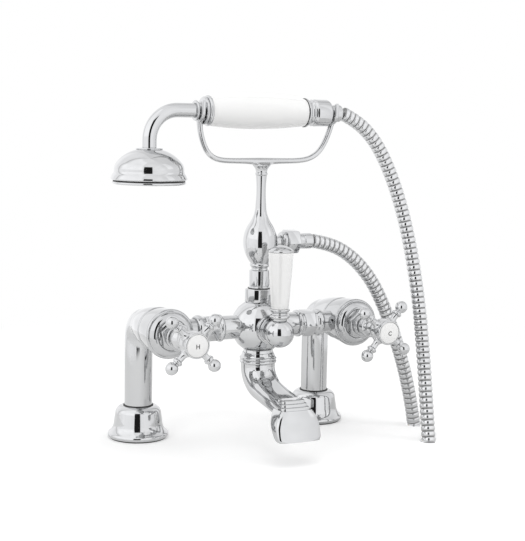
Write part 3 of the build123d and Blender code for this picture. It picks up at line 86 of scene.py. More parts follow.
# %% Places
def middle_of(node, axis):
    """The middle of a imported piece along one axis, in millimetres."""
    low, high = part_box(node)
    return round((low[axis] + high[axis]) * 500, 1)


X, Y, Z = range(3)
LEG_X, ROSE_X = middle_of("cold_flange", X), middle_of("rose_plate", X)
FORWARD_Y, HUB_Y = middle_of("riser_nut", Y), middle_of("lever_handle", Y)
AXIS_Z, OUTLET_Z, SHOWER_Z = (middle_of(node, Z) for node in ("cold_index_ring", "outlet_nut", "handle"))
SIDES = (("hot", -1), ("cold", 1))


def moved(x, y, z):
    return Matrix.Translation((x, y, z))


def turned_by(degrees, axis):
    return Matrix.Rotation(math.radians(degrees), 4, axis)


def forward(x):
    """Local Z is the distance forward of the legs."""
    return moved(x, 0, AXIS_Z) @ turned_by(90, "X")


def sideways(side):
    """Local Z is the distance from the mixer's middle."""
    return moved(0, FORWARD_Y, AXIS_Z) @ turned_by(90 * side, "Y")


def lengthwise(z):
    """Local Z is X, at a height over the centre body."""
    return moved(0, FORWARD_Y, z) @ turned_by(90, "Y")


def upright(x=0.0, y=FORWARD_Y):
    """Local Z is the height over the deck."""
    return moved(x, y, 0)


print("legs", LEG_X, "mm to each side, rose at", ROSE_X, "body at", FORWARD_Y, "lever's hub at", HUB_Y)
print("mm over the deck: taps", AXIS_Z, "outlet", OUTLET_Z, "hand shower", SHOWER_Z)

# %% [markdown]
# ## Shader sentences
# Materials are written as sums and products. A small class wraps a socket, so that `1 - mask` adds the
# Math node by itself, and one method makes any other node from its type, its settings and its inputs.

# %% Shader sentences
class Value:
    """A number that varies over the surface."""

    def __init__(self, look, socket):
        self.look, self.socket = look, socket

    def maths(self, operation, first, second):
        return self.look.node("ShaderNodeMath", {"operation": operation}, {0: first, 1: second})

    def __add__(self, other):
        return self.maths("ADD", self, other)

    def __sub__(self, other):
        return self.maths("SUBTRACT", self, other)

    def __rsub__(self, other):
        return self.maths("SUBTRACT", other, self)

    def __mul__(self, other):
        return self.maths("MULTIPLY", self, other)

    __radd__, __rmul__ = __add__, __mul__


class Look:
    """One material, with a Principled shader at its end, or another tree of nodes."""

    def __init__(self, name, tree=None):
        if tree is None:
            self.material = bpy.data.materials.new(name)
            self.material.use_nodes = True
            tree = self.material.node_tree
            self.shader = tree.nodes["Principled BSDF"]
        self.tree = tree

    def node(self, kind, settings, inputs, out=0):
        made = self.tree.nodes.new(kind)
        for key, setting in settings.items():
            setattr(made, key, setting)
        for key, given in inputs.items():
            self.plug(made.inputs[key], given)
        return Value(self, made.outputs[out])

    def plug(self, socket, given):
        if isinstance(given, Value):
            self.tree.links.new(given.socket, socket)
        else:
            socket.default_value = given

    def end(self, **inputs):
        for key, given in inputs.items():
            self.plug(self.shader.inputs[key.replace("_", " ")], given)

    def spot(self):
        return self.node("ShaderNodeTexCoord", {}, {}, "Object")

    def noise(self, scale, detail=2.0, stretch=None):
        spot = self.spot()
        if stretch:
            spot = self.node("ShaderNodeMapping", {}, {"Vector": spot, "Scale": stretch})
        return self.node("ShaderNodeTexNoise", {}, {"Vector": spot, "Scale": scale, "Detail": detail})

    def ranged(self, value, low, high, to_low, to_high):
        spans = {1: low, 2: high, 3: to_low, 4: to_high}
        return self.node("ShaderNodeMapRange", {}, {0: value, **spans})

    def mixed(self, share, first, second):
        settings = {"data_type": "RGBA"}
        return self.node("ShaderNodeMix", settings, {0: share, 6: first, 7: second}, 2)

    def bumped(self, height, distance, strength=1.0):
        given = {"Strength": strength, "Distance": distance, "Height": height}
        return self.node("ShaderNodeBump", {}, given)


# %% [markdown]
# ## Chrome
# The castings are brass under bright chrome. A mirror with nothing else looks like computer chrome, so
# three things vary: long soft waves left by hand polishing bend the reflections a little, faint dried
# drops and wiping marks dull the mirror in places, and the plating is a touch darker in the dull places.
# The valves and what screws into them get a darker copy of the chrome all over: painted shade, for the
# darker reflections they show.

# %% Chrome
def chrome_look(name, wave=0.00003, wave_scale=38.0, tint=(0.56, 0.565, 0.57, 1)):
    look = Look(name)
    wipes = look.ranged(look.noise(26.0, 4.0, stretch=(1.0, 1.0, 0.25)), 0.42, 0.72, 0.0, 1.0)
    cells = {"Vector": look.spot(), "Scale": 210.0, "Randomness": 1.0}
    drops = look.ranged(look.node("ShaderNodeTexVoronoi", {}, cells), 0.10, 0.17, 1.0, 0.0)
    rare = look.ranged(look.noise(48.0), 0.56, 0.62, 0.0, 1.0)
    dull = wipes * 0.5 + drops * rare * 0.5
    dark = tuple(c * 0.90 for c in tint[:3]) + (1,)
    look.end(Metallic=1.0, Base_Color=look.mixed(dull, tint, dark), Roughness=0.035 + 0.075 * dull)
    look.end(Normal=look.bumped(look.noise(wave_scale, 1.0), wave))
    return look.material


chrome = chrome_look("polished_chrome")
cast_chrome = chrome_look("cast_chrome", 0.00012, 30.0)
small_chrome = chrome_look("small_chrome", 0.00001, 90.0)
# A darker copy of the chrome for the valves and their headworks: painted shade.
shaded_valve_chrome = chrome_look("shaded_valve_chrome", 0.00008, 40.0, (0.49, 0.495, 0.5, 1))
print("chrome looks:", chrome.name, cast_chrome.name, small_chrome.name, shaded_valve_chrome.name)

# %% [markdown]
# ## Hose chrome
# A metal shower hose is a wound strip: each turn stands up as a ridge with a flat top, and the groove
# between two turns is dark, because it sees only itself. Its colour is painted darker too: painted shade,
# with a little lime and soap. The mesh carries the groove's depth as an attribute, and the material
# darkens and dulls by it.

# %% Hose chrome
def hose_look():
    look = Look("wound_hose_chrome")
    groove = look.node("ShaderNodeAttribute", {"attribute_name": "groove"}, {}, "Fac")
    film = look.ranged(look.noise(60.0, 3.0), 0.4, 0.7, 0.0, 1.0)
    # The dark groove colour is painted shade, with a little lime and soap.
    colour = look.mixed(groove, (0.62, 0.625, 0.63, 1), (0.25, 0.25, 0.248, 1))
    look.end(Metallic=1.0, Base_Color=colour, Roughness=0.08 + 0.24 * groove + 0.06 * film)
    return look.material


hose_chrome = hose_look()
print("hose look:", hose_chrome.name)

# %% [markdown]
# ## Glazed ceramic
# The handle, the lever and the index buttons are white glazed porcelain. The glaze pools a little, so
# its white drifts very slightly between warm and cool, the surface has a slow orange-peel, and a fine
# dust of pits breaks the gloss here and there.

# %% Glazed ceramic
def glaze_look():
    look = Look("white_glaze")
    pool = look.noise(22.0, 2.0)
    pits = look.ranged(look.noise(900.0, 1.0), 0.70, 0.76, 0.0, 1.0)
    colour = look.mixed(pool, (0.86, 0.86, 0.858, 1), (0.895, 0.893, 0.886, 1))
    look.end(Base_Color=colour, Roughness=0.09 + 0.05 * pool + 0.2 * pits)
    look.end(IOR=1.52, Coat_Weight=0.6, Coat_Roughness=0.03)
    look.end(Normal=look.bumped(look.noise(160.0, 1.0), 0.000012))
    return look.material


glaze = glaze_look()
print("ceramic look:", glaze.name)

# %% [markdown]
# ## What is inside and below
# The tails, nuts and spindles are bare machined brass: fine rings from the lathe, and brown tarnish in
# patches. Seals are matt black rubber with a little bloom. The valve's discs are lapped ceramic, and
# the screws are plain steel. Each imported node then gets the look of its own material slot.

# %% What is inside and below
def brass_look():
    look = Look("machined_brass")
    rings = look.noise(900.0, 1.0, stretch=(0.05, 0.05, 1.0))
    tarnish = look.ranged(look.noise(35.0, 4.0), 0.45, 0.7, 0.0, 1.0)
    colour = look.mixed(tarnish, (0.80, 0.62, 0.30, 1), (0.42, 0.28, 0.13, 1))
    look.end(Metallic=1.0, Base_Color=colour, Roughness=0.24 + 0.25 * tarnish)
    look.end(Normal=look.bumped(rings, 0.00004))
    return look.material


def rubber_look():
    look = Look("black_rubber")
    bloom = look.ranged(look.noise(120.0, 4.0), 0.45, 0.75, 0.0, 1.0)
    look.end(Base_Color=look.mixed(bloom, (0.02, 0.02, 0.02, 1), (0.07, 0.07, 0.068, 1)))
    look.end(Roughness=0.62 + 0.2 * bloom, Normal=look.bumped(look.noise(1400.0, 2.0), 0.00003))
    return look.material


def lapped_look():
    look = Look("lapped_ceramic")
    grain = look.noise(700.0, 3.0)
    look.end(Base_Color=look.mixed(grain, (0.80, 0.79, 0.76, 1), (0.88, 0.87, 0.84, 1)))
    look.end(Roughness=0.2 + 0.15 * grain)
    return look.material


def steel_look():
    look = Look("screw_steel")
    scratches = look.noise(500.0, 3.0, stretch=(1.0, 0.2, 1.0))
    look.end(Metallic=1.0, Base_Color=look.mixed(scratches, (0.5, 0.5, 0.51, 1), (0.66, 0.66, 0.66, 1)))
    look.end(Roughness=0.25 + 0.2 * scratches)
    return look.material


rubber = rubber_look()
SLOT_LOOKS = {
    "chrome": chrome, "hose_steel": hose_chrome, "white_ceramic": glaze, "disc_ceramic": lapped_look(),
    "brass": brass_look(), "rubber": rubber, "screw_steel": steel_look(),
}
slot_of = {part["node"]: part["material_slot"] for part in frame["record"]["subparts"]}
for name, node in frame["nodes"].items():
    node.data.materials.clear()
    node.data.materials.append(SLOT_LOOKS[slot_of[name]])
print("nodes with a look:", len(slot_of))

# %% [markdown]
# ## Tools for turned pieces
# Nearly every piece of a mixer is turned on a lathe or cast in a turned shape. An outline is drawn as
# points of radius and height, where a pair of points is an arc through the first to the second, and the
# spin operator takes it once round. Bevelling the outline's corners first gives each edge the small
# radius that polishing leaves. `finish` scales a piece to metres and puts it on its body.

# %% Tools for turned pieces
def arc_points(start, middle, end, count=9):
    """Points on the circle through three points, without the start."""
    (ax, az), (bx, bz), (cx, cz) = start, middle, end
    d = 2 * (ax * (bz - cz) + bx * (cz - az) + cx * (az - bz))
    if abs(d) < 1e-9:
        return [end]
    a2, b2, c2 = ax * ax + az * az, bx * bx + bz * bz, cx * cx + cz * cz
    ux = (a2 * (bz - cz) + b2 * (cz - az) + c2 * (az - bz)) / d
    uz = (a2 * (cx - bx) + b2 * (ax - cx) + c2 * (bx - ax)) / d
    radius = math.hypot(ax - ux, az - uz)
    first, mid, last = (math.atan2(z - uz, x - ux) for x, z in (start, middle, end))
    sweep, part = (last - first) % math.tau, (mid - first) % math.tau
    if part > sweep:
        sweep -= math.tau
    steps = [first + sweep * i / count for i in range(1, count)]
    return [(ux + radius * math.cos(t), uz + radius * math.sin(t)) for t in steps] + [end]


def traced(start, *steps):
    """All points of an outline. A step is a point, or an arc's middle and end."""
    points = [start]
    for step in steps:
        if isinstance(step[0], tuple):
            points += arc_points(points[-1], *step)
        else:
            points.append(step)
    return points


def each_once(found):
    """A list without doubles. It keeps its order, as a set wouldn't, so each run gives the same mesh."""
    return list(dict.fromkeys(found))


def turn(mesh, place, outline, closed=False, soften=0.22, steps=72):
    """Spins an outline round Z and lays the result in its place."""
    verts = [mesh.verts.new((r, 0, z)) for r, z in outline]
    edges = [mesh.edges.new(pair) for pair in zip(verts, verts[1:])]
    if closed:
        edges.append(mesh.edges.new((verts[-1], verts[0])))
    corners = [v for v in verts if len(v.link_edges) == 2 and corner_of(v) > 0.35]
    if soften and corners:
        cut = bmesh.ops.bevel(
            mesh, geom=corners, offset=soften, segments=2, profile=0.5, affect="VERTICES",
            clamp_overlap=True, material=-1,
        )
        edges = each_once(e for v in verts + cut["verts"] if v.is_valid for e in v.link_edges)
        edges += [e for e in cut["edges"] if e not in edges]
    corners = each_once(v for e in edges for v in e.verts)
    bmesh.ops.spin(
        mesh, geom=corners + edges, cent=(0, 0, 0), axis=(0, 0, 1), angle=math.tau, steps=steps,
        use_merge=True,
    )
    grown = island_of(each_once(f for v in corners if v.is_valid for f in v.link_faces))
    bmesh.ops.remove_doubles(mesh, verts=grown, dist=0.002)
    grown = [v for v in grown if v.is_valid]
    bmesh.ops.recalc_face_normals(mesh, faces=each_once(f for v in grown for f in v.link_faces))
    bmesh.ops.transform(mesh, matrix=place, verts=grown)


def corner_of(vert):
    """How sharply an outline turns at a point, in radians."""
    one, two = (e.other_vert(vert).co - vert.co for e in vert.link_edges)
    return math.pi - one.angle(two, 0.0)


def island_of(faces):
    """All points joined to some faces."""
    seen, todo = {}, [v for f in faces for v in f.verts]
    while todo:
        vert = todo.pop()
        if vert not in seen:
            seen[vert] = True
            todo += [e.other_vert(vert) for e in vert.link_edges]
    return list(seen)


def object_of(mesh, name, look):
    """Makes the mesh an object of the scene."""
    data = bpy.data.meshes.new(name)
    mesh.to_mesh(data)
    mesh.free()
    data.materials.append(look)
    piece = bpy.data.objects.new(name, data)
    bpy.context.collection.objects.link(piece)
    return piece


def finish(mesh, name, look, body, *nodes, sharp=38.0, slot=None):
    """Makes the piece an object in metres on its body, standing for its nodes."""
    bmesh.ops.scale(mesh, vec=(0.001, 0.001, 0.001), verts=mesh.verts)
    piece = object_of(mesh, name, look)
    piece.data.shade_smooth()
    piece.data.set_sharp_from_angle(angle=math.radians(sharp))
    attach(piece, body)
    if nodes:
        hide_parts(*nodes)
    print(name, "faces", len(piece.data.polygons))


def turned_piece(name, look, body, node, place, outline, **how):
    """A piece that is one turned outline. The ones without a node are black rubber."""
    mesh = bmesh.new()
    turn(mesh, place, outline, **how)
    if node:
        finish(mesh, name, look, body, node)
    else:
        finish(mesh, name, look, body, slot="rubber")


# %% [markdown]
# ## Hexagons
# Union nuts are hexagonal bars with their corners turned off. Here a six-sided cylinder gets its rims
# and its edges bevelled, which gives the same soft corners at this size.

# %% Hexagons
def hexagon(mesh, place, across_flats, low, high, turn_by, rim=0.9):
    corner_r = across_flats / math.sqrt(3)
    verts = bmesh.ops.create_cone(
        mesh, cap_ends=True, segments=6, radius1=corner_r, radius2=corner_r, depth=high - low,
    )["verts"]
    edges = each_once(e for v in verts for e in v.link_edges)
    rims = [e for e in edges if abs(e.verts[0].co.z - e.verts[1].co.z) < 0.01]
    cut = bmesh.ops.bevel(
        mesh, geom=rims, offset=rim, segments=3, profile=0.5, affect="EDGES", material=-1,
    )
    verts = island_of(cut["faces"])
    edges = each_once(e for v in verts for e in v.link_edges)
    sides = [e for e in edges if e.is_manifold and e.calc_face_angle(0) > 0.7]
    cut = bmesh.ops.bevel(
        mesh, geom=sides, offset=0.35, segments=2, profile=0.5, affect="EDGES", material=-1,
    )
    verts = island_of(cut["faces"])
    lift = place @ moved(0, 0, (low + high) / 2) @ turned_by(turn_by, "Z")
    bmesh.ops.transform(mesh, matrix=lift, verts=verts)


# %% [markdown]
# ## Lofted rings
# Most of what isn't turned is a row of rings, each a circle that a power can square, and the bridge
# operator joins each ring to the next. A bent tube is such a row too: its rings stand on a line that goes
# straight up, bends forward through a quarter turn and goes on.

# %% Lofted rings
def squared_ring(mesh, place, width, depth, power=2.0, bow=0.0, count=72):
    """A ring between an ellipse, at power 2, and a rectangle. Its -Y side can bow out."""
    ring = bmesh.ops.create_circle(mesh, radius=1.0, segments=count)["verts"]
    for vert in ring:
        angle = math.atan2(vert.co.y, vert.co.x)
        across, along = math.cos(angle), math.sin(angle)
        x = math.copysign(abs(across) ** (2 / power), across)
        y = math.copysign(abs(along) ** (2 / power), along)
        bulge = bow * (1 - x * x) if y < 0 else 0.0
        vert.co = (x * width / 2, y * depth / 2 - bulge, 0)
    bmesh.ops.transform(mesh, matrix=place, verts=ring)
    return ring


def edges_within(verts):
    held = set(verts)
    return each_once(e for v in verts for e in v.link_edges if all(w in held for w in e.verts))


def loft(mesh, rings):
    """Bridges a row of rings and closes both ends."""
    loops = [edges_within(ring) for ring in rings]
    for one, two in zip(loops, loops[1:]):
        bmesh.ops.bridge_loops(mesh, edges=one + two)
    for loop in (loops[0], loops[-1]):
        bmesh.ops.edgeloop_fill(mesh, edges=loop)
    grown = [v for ring in rings for v in ring]
    bmesh.ops.recalc_face_normals(mesh, faces=each_once(f for v in grown for f in v.link_faces))


def smooth_rows(rows, per_row=5):
    """More rows between the given ones, on smooth curves through them."""
    made = []
    for i in range(len(rows) - 1):
        before, one = rows[max(i - 1, 0)], rows[i]
        two, after = rows[i + 1], rows[min(i + 2, len(rows) - 1)]
        for step in range(per_row):
            t = step / per_row
            blend = []
            for a, b, c, d in zip(before, one, two, after):
                bend, twist = 2 * a - 5 * b + 4 * c - d, 3 * b - a - 3 * c + d
                blend.append(0.5 * (2 * b + (c - a) * t + bend * t * t + twist * t**3))
            made.append(tuple(blend))
    return made + [rows[-1]]


def on_bend(distance, bend):
    """A place on a line that rises, bends towards -Y from distance 0 on, and goes on level."""
    share = min(max(distance / (bend * math.pi / 2), 0.0), 1.0)
    beyond = distance - share * bend * math.pi / 2
    return moved(0, -bend, 0) @ turned_by(90 * share, "X") @ moved(0, bend, beyond)


def bent_tube(mesh, place, bend, rows):
    """A tube of rows of (distance, radius) along a bent line."""
    loft(mesh, [squared_ring(mesh, place @ on_bend(d, bend), 2 * r, 2 * r, count=64) for d, r in rows])


# %% [markdown]
# ## Cover flanges
# A bell-shaped flange hides the hole in the bath. Its foot flares to a round rim, and its shoulder is
# drawn in to a thin lip round the leg. A solid bell would look the same from above, but this is one
# turned ring with an inside, so that its foot is a real wall. A thin black ring sits between the lip and
# the leg: painted shade, a dark part that stands for the shade in the gap there.

# %% Cover flanges
FLANGE = traced(
    (12.6, 28.7), (13.2, 29.3), (14.6, 29.4), ((18.5, 27.4), (20.7, 22.5)), ((21.4, 17.8), (22.0, 13.2)),
    ((23.7, 8.3), (26.5, 5.3)), ((27.4, 3.3), (26.8, 1.3)), (24.4, 1.3), (24.4, 3.4), (20.2, 8.6),
    (19.0, 14.2), (17.6, 21.9), (14.2, 25.2), (12.6, 25.2),
)
# A dark ring in the gap between flange and leg: painted shade.
GAP_SHADE_RING = traced((12.4, 28.9), (13.3, 28.9), ((13.3, 30.0), (12.4, 30.1)))
for word, side in SIDES:
    turned_piece(
        f"{word}_bell_flange", chrome, "mixer", f"{word}_flange",
        upright(side * LEG_X, 0), FLANGE, closed=True, soften=0.12, steps=96,
    )
    turned_piece(
        f"{word}_gap_shade_ring", rubber, "mixer", None,
        upright(side * LEG_X, 0), GAP_SHADE_RING, closed=True, soften=0.0, steps=96,
    )

# %% [markdown]
# ## Legs
# Each leg rises, bends forward tightly while it grows, and swells to the joint with its valve, where a
# fine dark line shows. A curve with a round bevel could do it too, but then the bend and the swell would
# share the same few points. Rings keep them apart: one number bends the line, and a list of distances
# and radii swells it.

# %% Legs
LEG_BEND = 17.0
SWELL = [(-77.0, 12.5), (-40.0, 12.5), (0.0, 12.5), (9.0, 12.7), (18.0, 13.1), (26.7, 13.85), (33.0, 15.4)]
SWELL += [(39.1, 16.75), (47.0, 18.05), (53.5, 18.6), (55.6, 18.65), (56.2, 18.3)]
for word, side in SIDES:
    mesh = bmesh.new()
    bent_tube(mesh, upright(side * LEG_X, 0) @ moved(0, 0, AXIS_Z - LEG_BEND), LEG_BEND, smooth_rows(SWELL))
    finish(mesh, f"{word}_leg", cast_chrome, "mixer", f"{word}_pillar")

# %% [markdown]
# ## Valve bodies
# The valve's body widens forward to a rounded rim. A short boss on its inner side carries the arm. Both
# are turned, each round its own axis. A boolean could join them, but the boss just ends out of sight in
# the body, which looks the same and keeps the faces clean.

# %% Valve bodies
VALVE = traced(
    (14.0, 46.5), (18.3, 46.5), ((19.3, 47.9), (18.7, 49.3)), ((20.2, 60.5), (20.8, 71.4)),
    ((21.4, 73.4), (20.9, 75.4)), (20.3, 76.0), (13.1, 76.0), (13.1, 60.0), (14.0, 52.0),
)
for word, side in SIDES:
    mesh = bmesh.new()
    turn(mesh, forward(side * LEG_X), VALVE, closed=True)
    turn(mesh, sideways(side), traced((6.2, 52.0), (9.4, 52.0), (9.4, 78.0), (6.2, 78.0)), closed=True)
    finish(mesh, f"{word}_valve", shaded_valve_chrome, "mixer", f"{word}_valve_body")

# %% [markdown]
# ## Bonnets and headworks
# In front of the rim a low dome leads to the headwork: a hexagon for the spanner, a beaded gland and a
# plain neck that the crosshead's skirt comes close to. Dome and headwork have an outline each, and the
# hexagon goes over the headwork's as a form of its own. The two sides are alike, so a loop makes both.

# %% Bonnets and headworks
BONNET = traced((13.1, 76.0), (19.5, 76.0), (19.6, 77.0), ((17.9, 79.9), (14.2, 81.4)), (13.1, 81.4))
GLAND = traced(
    (4.1, 74.0), (12.9, 74.0), (12.9, 81.4), (9.8, 81.4), (9.8, 89.4), ((8.9, 90.3), (9.6, 91.2)),
    ((10.3, 92.4), (9.2, 93.9)), (8.0, 93.9), (8.0, 98.7), (7.2, 99.5), (4.1, 99.5),
)
mesh = bmesh.new()
for side in (-1, 1):
    turn(mesh, forward(side * LEG_X), BONNET, closed=True)
finish(mesh, "valve_bonnets", shaded_valve_chrome, "mixer", "bonnets")
mesh = bmesh.new()
for side in (-1, 1):
    turn(mesh, forward(side * LEG_X), GLAND, closed=True)
    hexagon(mesh, forward(side * LEG_X), 23.0, 81.4, 88.4, turn_by=10.0)
finish(mesh, "valve_headworks", shaded_valve_chrome, "mixer", "headworks")

# %% [markdown]
# ## Crossheads
# A crosshead is cast in one: a flared skirt, a round hub, and four arms that leave it through a small
# fillet, narrow, pass a bead and end in balls. An arm is one outline: it is turned upright, tipped over
# and sent to its quarter, with its inner end hidden in the hub. Real crossheads stop where their discs
# stop, so the two stand at slightly different angles.

# %% Crossheads
SPOKES_Z = 125.0
HUB = traced(
    (4.1, 100.0), (8.5, 100.0), ((9.2, 101.4), (8.3, 102.8)), ((6.7, 108.0), (7.6, 115.2)),
    (9.1, 117.6), ((10.5, 119.4), (10.3, 121.4)), (10.3, 129.8), (4.1, 129.8),
)
CROSS_ARM = traced(
    (0, 7.3), (4.4, 7.3), (4.3, 10.1), ((3.0, 11.9), (2.7, 13.9)), (2.7, 17.6),
    ((4.2, 19.6), (3.0, 21.1)), (2.9, 21.9), ((5.3, 26.5), (0, 31.8)),
)
for word, side, angle in (("hot", -1, 45.0), ("cold", 1, 51.0)):
    mesh = bmesh.new()
    turn(mesh, forward(side * LEG_X), HUB, closed=True)
    for quarter in range(4):
        spoke = moved(0, 0, SPOKES_Z) @ turned_by(angle + 90 * quarter, "Z") @ turned_by(90, "Y")
        turn(mesh, forward(side * LEG_X) @ spoke, CROSS_ARM, soften=0.1, steps=40)
    finish(mesh, f"{word}_cross_handle", small_chrome, f"{word}_handle", f"{word}_crosshead")

# %% [markdown]
# ## Index caps
# A chromed ring holds a domed white button on each crosshead. One disc in two colours would do from afar.
# Two turned pieces leave the fine gap between metal and glaze that shows from close by.

# %% Index caps
CAP_RING = traced(
    (5.0, 129.8), (10.4, 129.8), ((10.8, 131.0), (10.7, 132.6)), ((10.3, 133.7), (9.8, 134.0)),
    (9.5, 133.7), (9.5, 131.6), (5.0, 131.6),
)
BUTTON = traced((0, 131.6), (9.4, 131.6), (9.4, 133.5), ((4.8, 134.3), (0, 134.5)))
for word, side in SIDES:
    turned_piece(
        f"{word}_cap_ring", small_chrome, f"{word}_handle", f"{word}_index_ring",
        forward(side * LEG_X), CAP_RING, closed=True, soften=0.1,
    )
    turned_piece(
        f"{word}_button", glaze, f"{word}_handle", f"{word}_index_disc",
        forward(side * LEG_X), BUTTON,
    )

# %% [markdown]
# ## Letters
# One small letter, H or C, tells hot from cold on any tap. It is a thin slip of dark enamel in the
# button's dome, just below its middle, and stands a few hundredths of a millimetre proud. It could be
# painted, but enamel has an edge. A text curve gives its shape, and is made a mesh before it is laid in
# its place.

# %% Letters
LETTER_SIZE, LETTER_HALF, LETTER_WEIGHT = 5.04, 0.1, 0.12
LETTER_AT = (0, -0.6, 134.42)


def enamel_look():
    look = Look("dark_enamel")
    worn = look.noise(300.0, 3.0)
    look.end(Base_Color=look.mixed(worn, (0.02, 0.02, 0.022, 1), (0.05, 0.05, 0.052, 1)))
    look.end(Roughness=0.25 + 0.2 * worn)
    return look.material


def letter_mesh(letter, place):
    text = bpy.data.curves.new("letter", "FONT")
    text.body, text.size, text.extrude, text.offset = letter, LETTER_SIZE, LETTER_HALF, LETTER_WEIGHT
    text.align_x, text.align_y = "CENTER", "CENTER"
    made = bmesh.new()
    made.from_mesh(bpy.data.meshes.new_from_object(bpy.data.objects.new("letter", text)))
    bmesh.ops.transform(made, matrix=place @ moved(*LETTER_AT), verts=made.verts)
    return made


enamel = enamel_look()
for word, side in SIDES:
    mesh = letter_mesh(word[0].upper(), forward(side * LEG_X))
    finish(mesh, f"{word}_letter", enamel, f"{word}_handle", slot="white_ceramic")

# %% [markdown]
# ## Arms and their nuts
# The arms are plain tubes from the centre body, and each ends in a union nut: a hexagon between two
# beads. The nuts are made as the headworks are, an outline with a hexagon over it. They stand turned a
# few degrees, because a fitter stops where the joint is tight, not where it looks straight.

# %% Arms and their nuts
ARM = traced((6.0, 15.0), (10.4, 15.0), (10.4, 36.3), (8.0, 36.3), (8.0, 52.0), (6.0, 52.0))
ARM_NUT = traced(
    (8.2, 36.3), (10.8, 36.3), ((12.1, 38.3), (10.6, 40.3)), (10.6, 41.2), (10.6, 53.9),
    (11.0, 55.1), ((12.4, 58.1), (11.3, 61.1)), (10.9, 61.5), (9.5, 61.5), (9.5, 49.0), (8.2, 49.0),
)
for word, side in SIDES:
    turned_piece(f"{word}_arm_tube", chrome, "mixer", f"{word}_arm", sideways(side), ARM, closed=True)
mesh = bmesh.new()
for side in (-1, 1):
    turn(mesh, sideways(side), ARM_NUT, closed=True)
    hexagon(mesh, sideways(side), 21.6, 41.9, 53.1, turn_by=8.0)
finish(mesh, "union_nuts", small_chrome, "mixer", "arm_nuts")

# %% [markdown]
# ## Centre body
# The arms, the riser, the spout and the diverter meet in a ball. Its bosses are short turned ends that
# grow out of it. The ball and its bosses overlap in one mesh, which needs no boolean, and they keep the
# crisp line where they meet.

# %% Centre body
mesh = bmesh.new()
BALL = traced((0, -24.6), ((24.6, 0), (12.6, 21.1)), (0, 21.1))
turn(mesh, moved(0, FORWARD_Y, AXIS_Z), BALL, steps=96)
turn(mesh, forward(0), traced((0, 78.0), (12.6, 78.0), (12.6, 85.5), (0, 85.5)))
turn(mesh, upright(), traced((0, 76.0), (13.0, 76.0), (13.0, 88.0), (0, 88.0)))
turn(mesh, upright(), traced((0, 120.0), (8.0, 120.0), (8.0, 136.0), (0, 136.0)))
finish(mesh, "ball_body", cast_chrome, "mixer", "centre_body")
turned_piece(
    "gland_ring", small_chrome, "mixer", "diverter_gland",
    forward(0), traced((4.9, 85.5), (11.6, 85.5), (11.6, 88.5), (4.9, 88.5)), closed=True,
)

# %% [markdown]
# ## Diverter lever
# The lever's hub is a ball on the diverter's stem. On top a moulded socket takes a tapered porcelain
# lever, which a domed cap closes. The ball is turned round the stem and the rest round the lever. The
# porcelain is a piece of its own, because it has another look than the metal at both its ends.

# %% Diverter lever
mesh = bmesh.new()
on_stem = moved(0, HUB_Y, AXIS_Z) @ turned_by(90, "X")
turn(mesh, on_stem, traced((0, -11.7), (8.6, -11.7), (8.6, -9.5), ((12.8, 0), (0, 12.8))))
SOCKET = traced(
    (0, 116.0), (6.4, 116.0), (6.4, 118.6), ((8.6, 120.4), (7.0, 122.0)), ((6.6, 123.2), (7.4, 124.2)),
    (8.2, 125.2), ((8.7, 126.1), (8.2, 127.0)), (0, 127.0),
)
lever = upright(0, HUB_Y)
turn(mesh, lever, SOCKET)
finish(mesh, "lever_hub", small_chrome, "diverter", "diverter_hub")
LEVER = traced((3.1, 127.0), (7.4, 127.0), ((9.4, 151.2), (10.8, 175.5)), (3.1, 175.5))
CAP = traced((0, 175.5), (10.7, 175.5), ((11.0, 176.5), (10.4, 177.4)), ((5.7, 180.3), (0, 181.4)))
turned_piece("lever_porcelain", glaze, "diverter", "lever_handle", lever, LEVER, closed=True, soften=0.4)
turned_piece("lever_top", small_chrome, "diverter", "lever_cap", lever, CAP, soften=0.1)

# %% [markdown]
# ## Spout
# The tube leaves its nut downward, bends forward and flattens. Each row has the ring's place ahead of the
# legs, its height, its tilt, its width, its depth and how square it is, and smooth rows are worked out
# between them. A lathe can't make this form and a bevelled curve can't flatten it, so it is a loft.

# %% Spout
SPOUT_ROWS = [
    (60.0, 73.0, 0, 30.2, 30.2, 2.0), (60.5, 66.8, 8, 30.2, 30.2, 2.0),
    (65.0, 59.4, 34, 30.0, 27.6, 2.1), (75.5, 53.0, 58, 29.6, 21.6, 2.3),
    (92.0, 49.6, 75, 29.2, 17.4, 2.6), (111.0, 46.8, 80, 29.2, 15.6, 2.9),
    (127.5, 43.7, 80, 27.6, 14.6, 3.2),
]
mesh = bmesh.new()
rings = []
for ahead, height, tilt, width, depth, power in smooth_rows(SPOUT_ROWS):
    place = moved(0, -ahead, height) @ turned_by(-tilt, "X")
    rings.append(squared_ring(mesh, place, width, depth, power))
loft(mesh, rings)
turn(mesh, upright(), traced((10.0, 72.0), (12.2, 72.0), (12.2, 76.0), (10.0, 76.0)), closed=True)
print("spout rings", len(rings))

# %% [markdown]
# ## Spout mouth
# The mouth is a flared bell, open below: the rings run down its outside, turn in at the lip and run up
# the inside. Each row has its height, its front, its back, its width and the bow of its front. Three
# narrow mouldings step up over the mouth. They join the tube's mesh, as the spout is one casting.

# %% Spout mouth
MOUTH_ROWS = [
    (46.0, 138.2, 118.0, 28.4, 0.9), (44.2, 138.8, 119.0, 31.4, 1.0), (42.0, 139.7, 120.2, 34.6, 1.1),
    (39.4, 140.5, 121.5, 37.2, 1.2), (37.0, 141.3, 122.7, 39.0, 1.3), (34.4, 141.9, 124.4, 40.4, 1.4),
    (32.0, 142.3, 126.1, 41.0, 1.4), (26.5, 144.0, 130.0, 41.0, 1.5), (24.2, 144.8, 131.6, 40.5, 1.6),
    (22.4, 145.3, 132.9, 39.6, 1.6), (21.0, 145.5, 133.6, 38.0, 1.6),
]
MOUTH_POWER, STEP_IN, STEP_UP = 7.0, 2.4, 2.5


def mouth_ring(height, front, back, width, bow, inset=0.0):
    place = moved(0, -(front - bow + back) / 2, height)
    depth = front - bow - back
    return squared_ring(mesh, place, width - 2 * inset, depth - 2 * inset, MOUTH_POWER, bow)


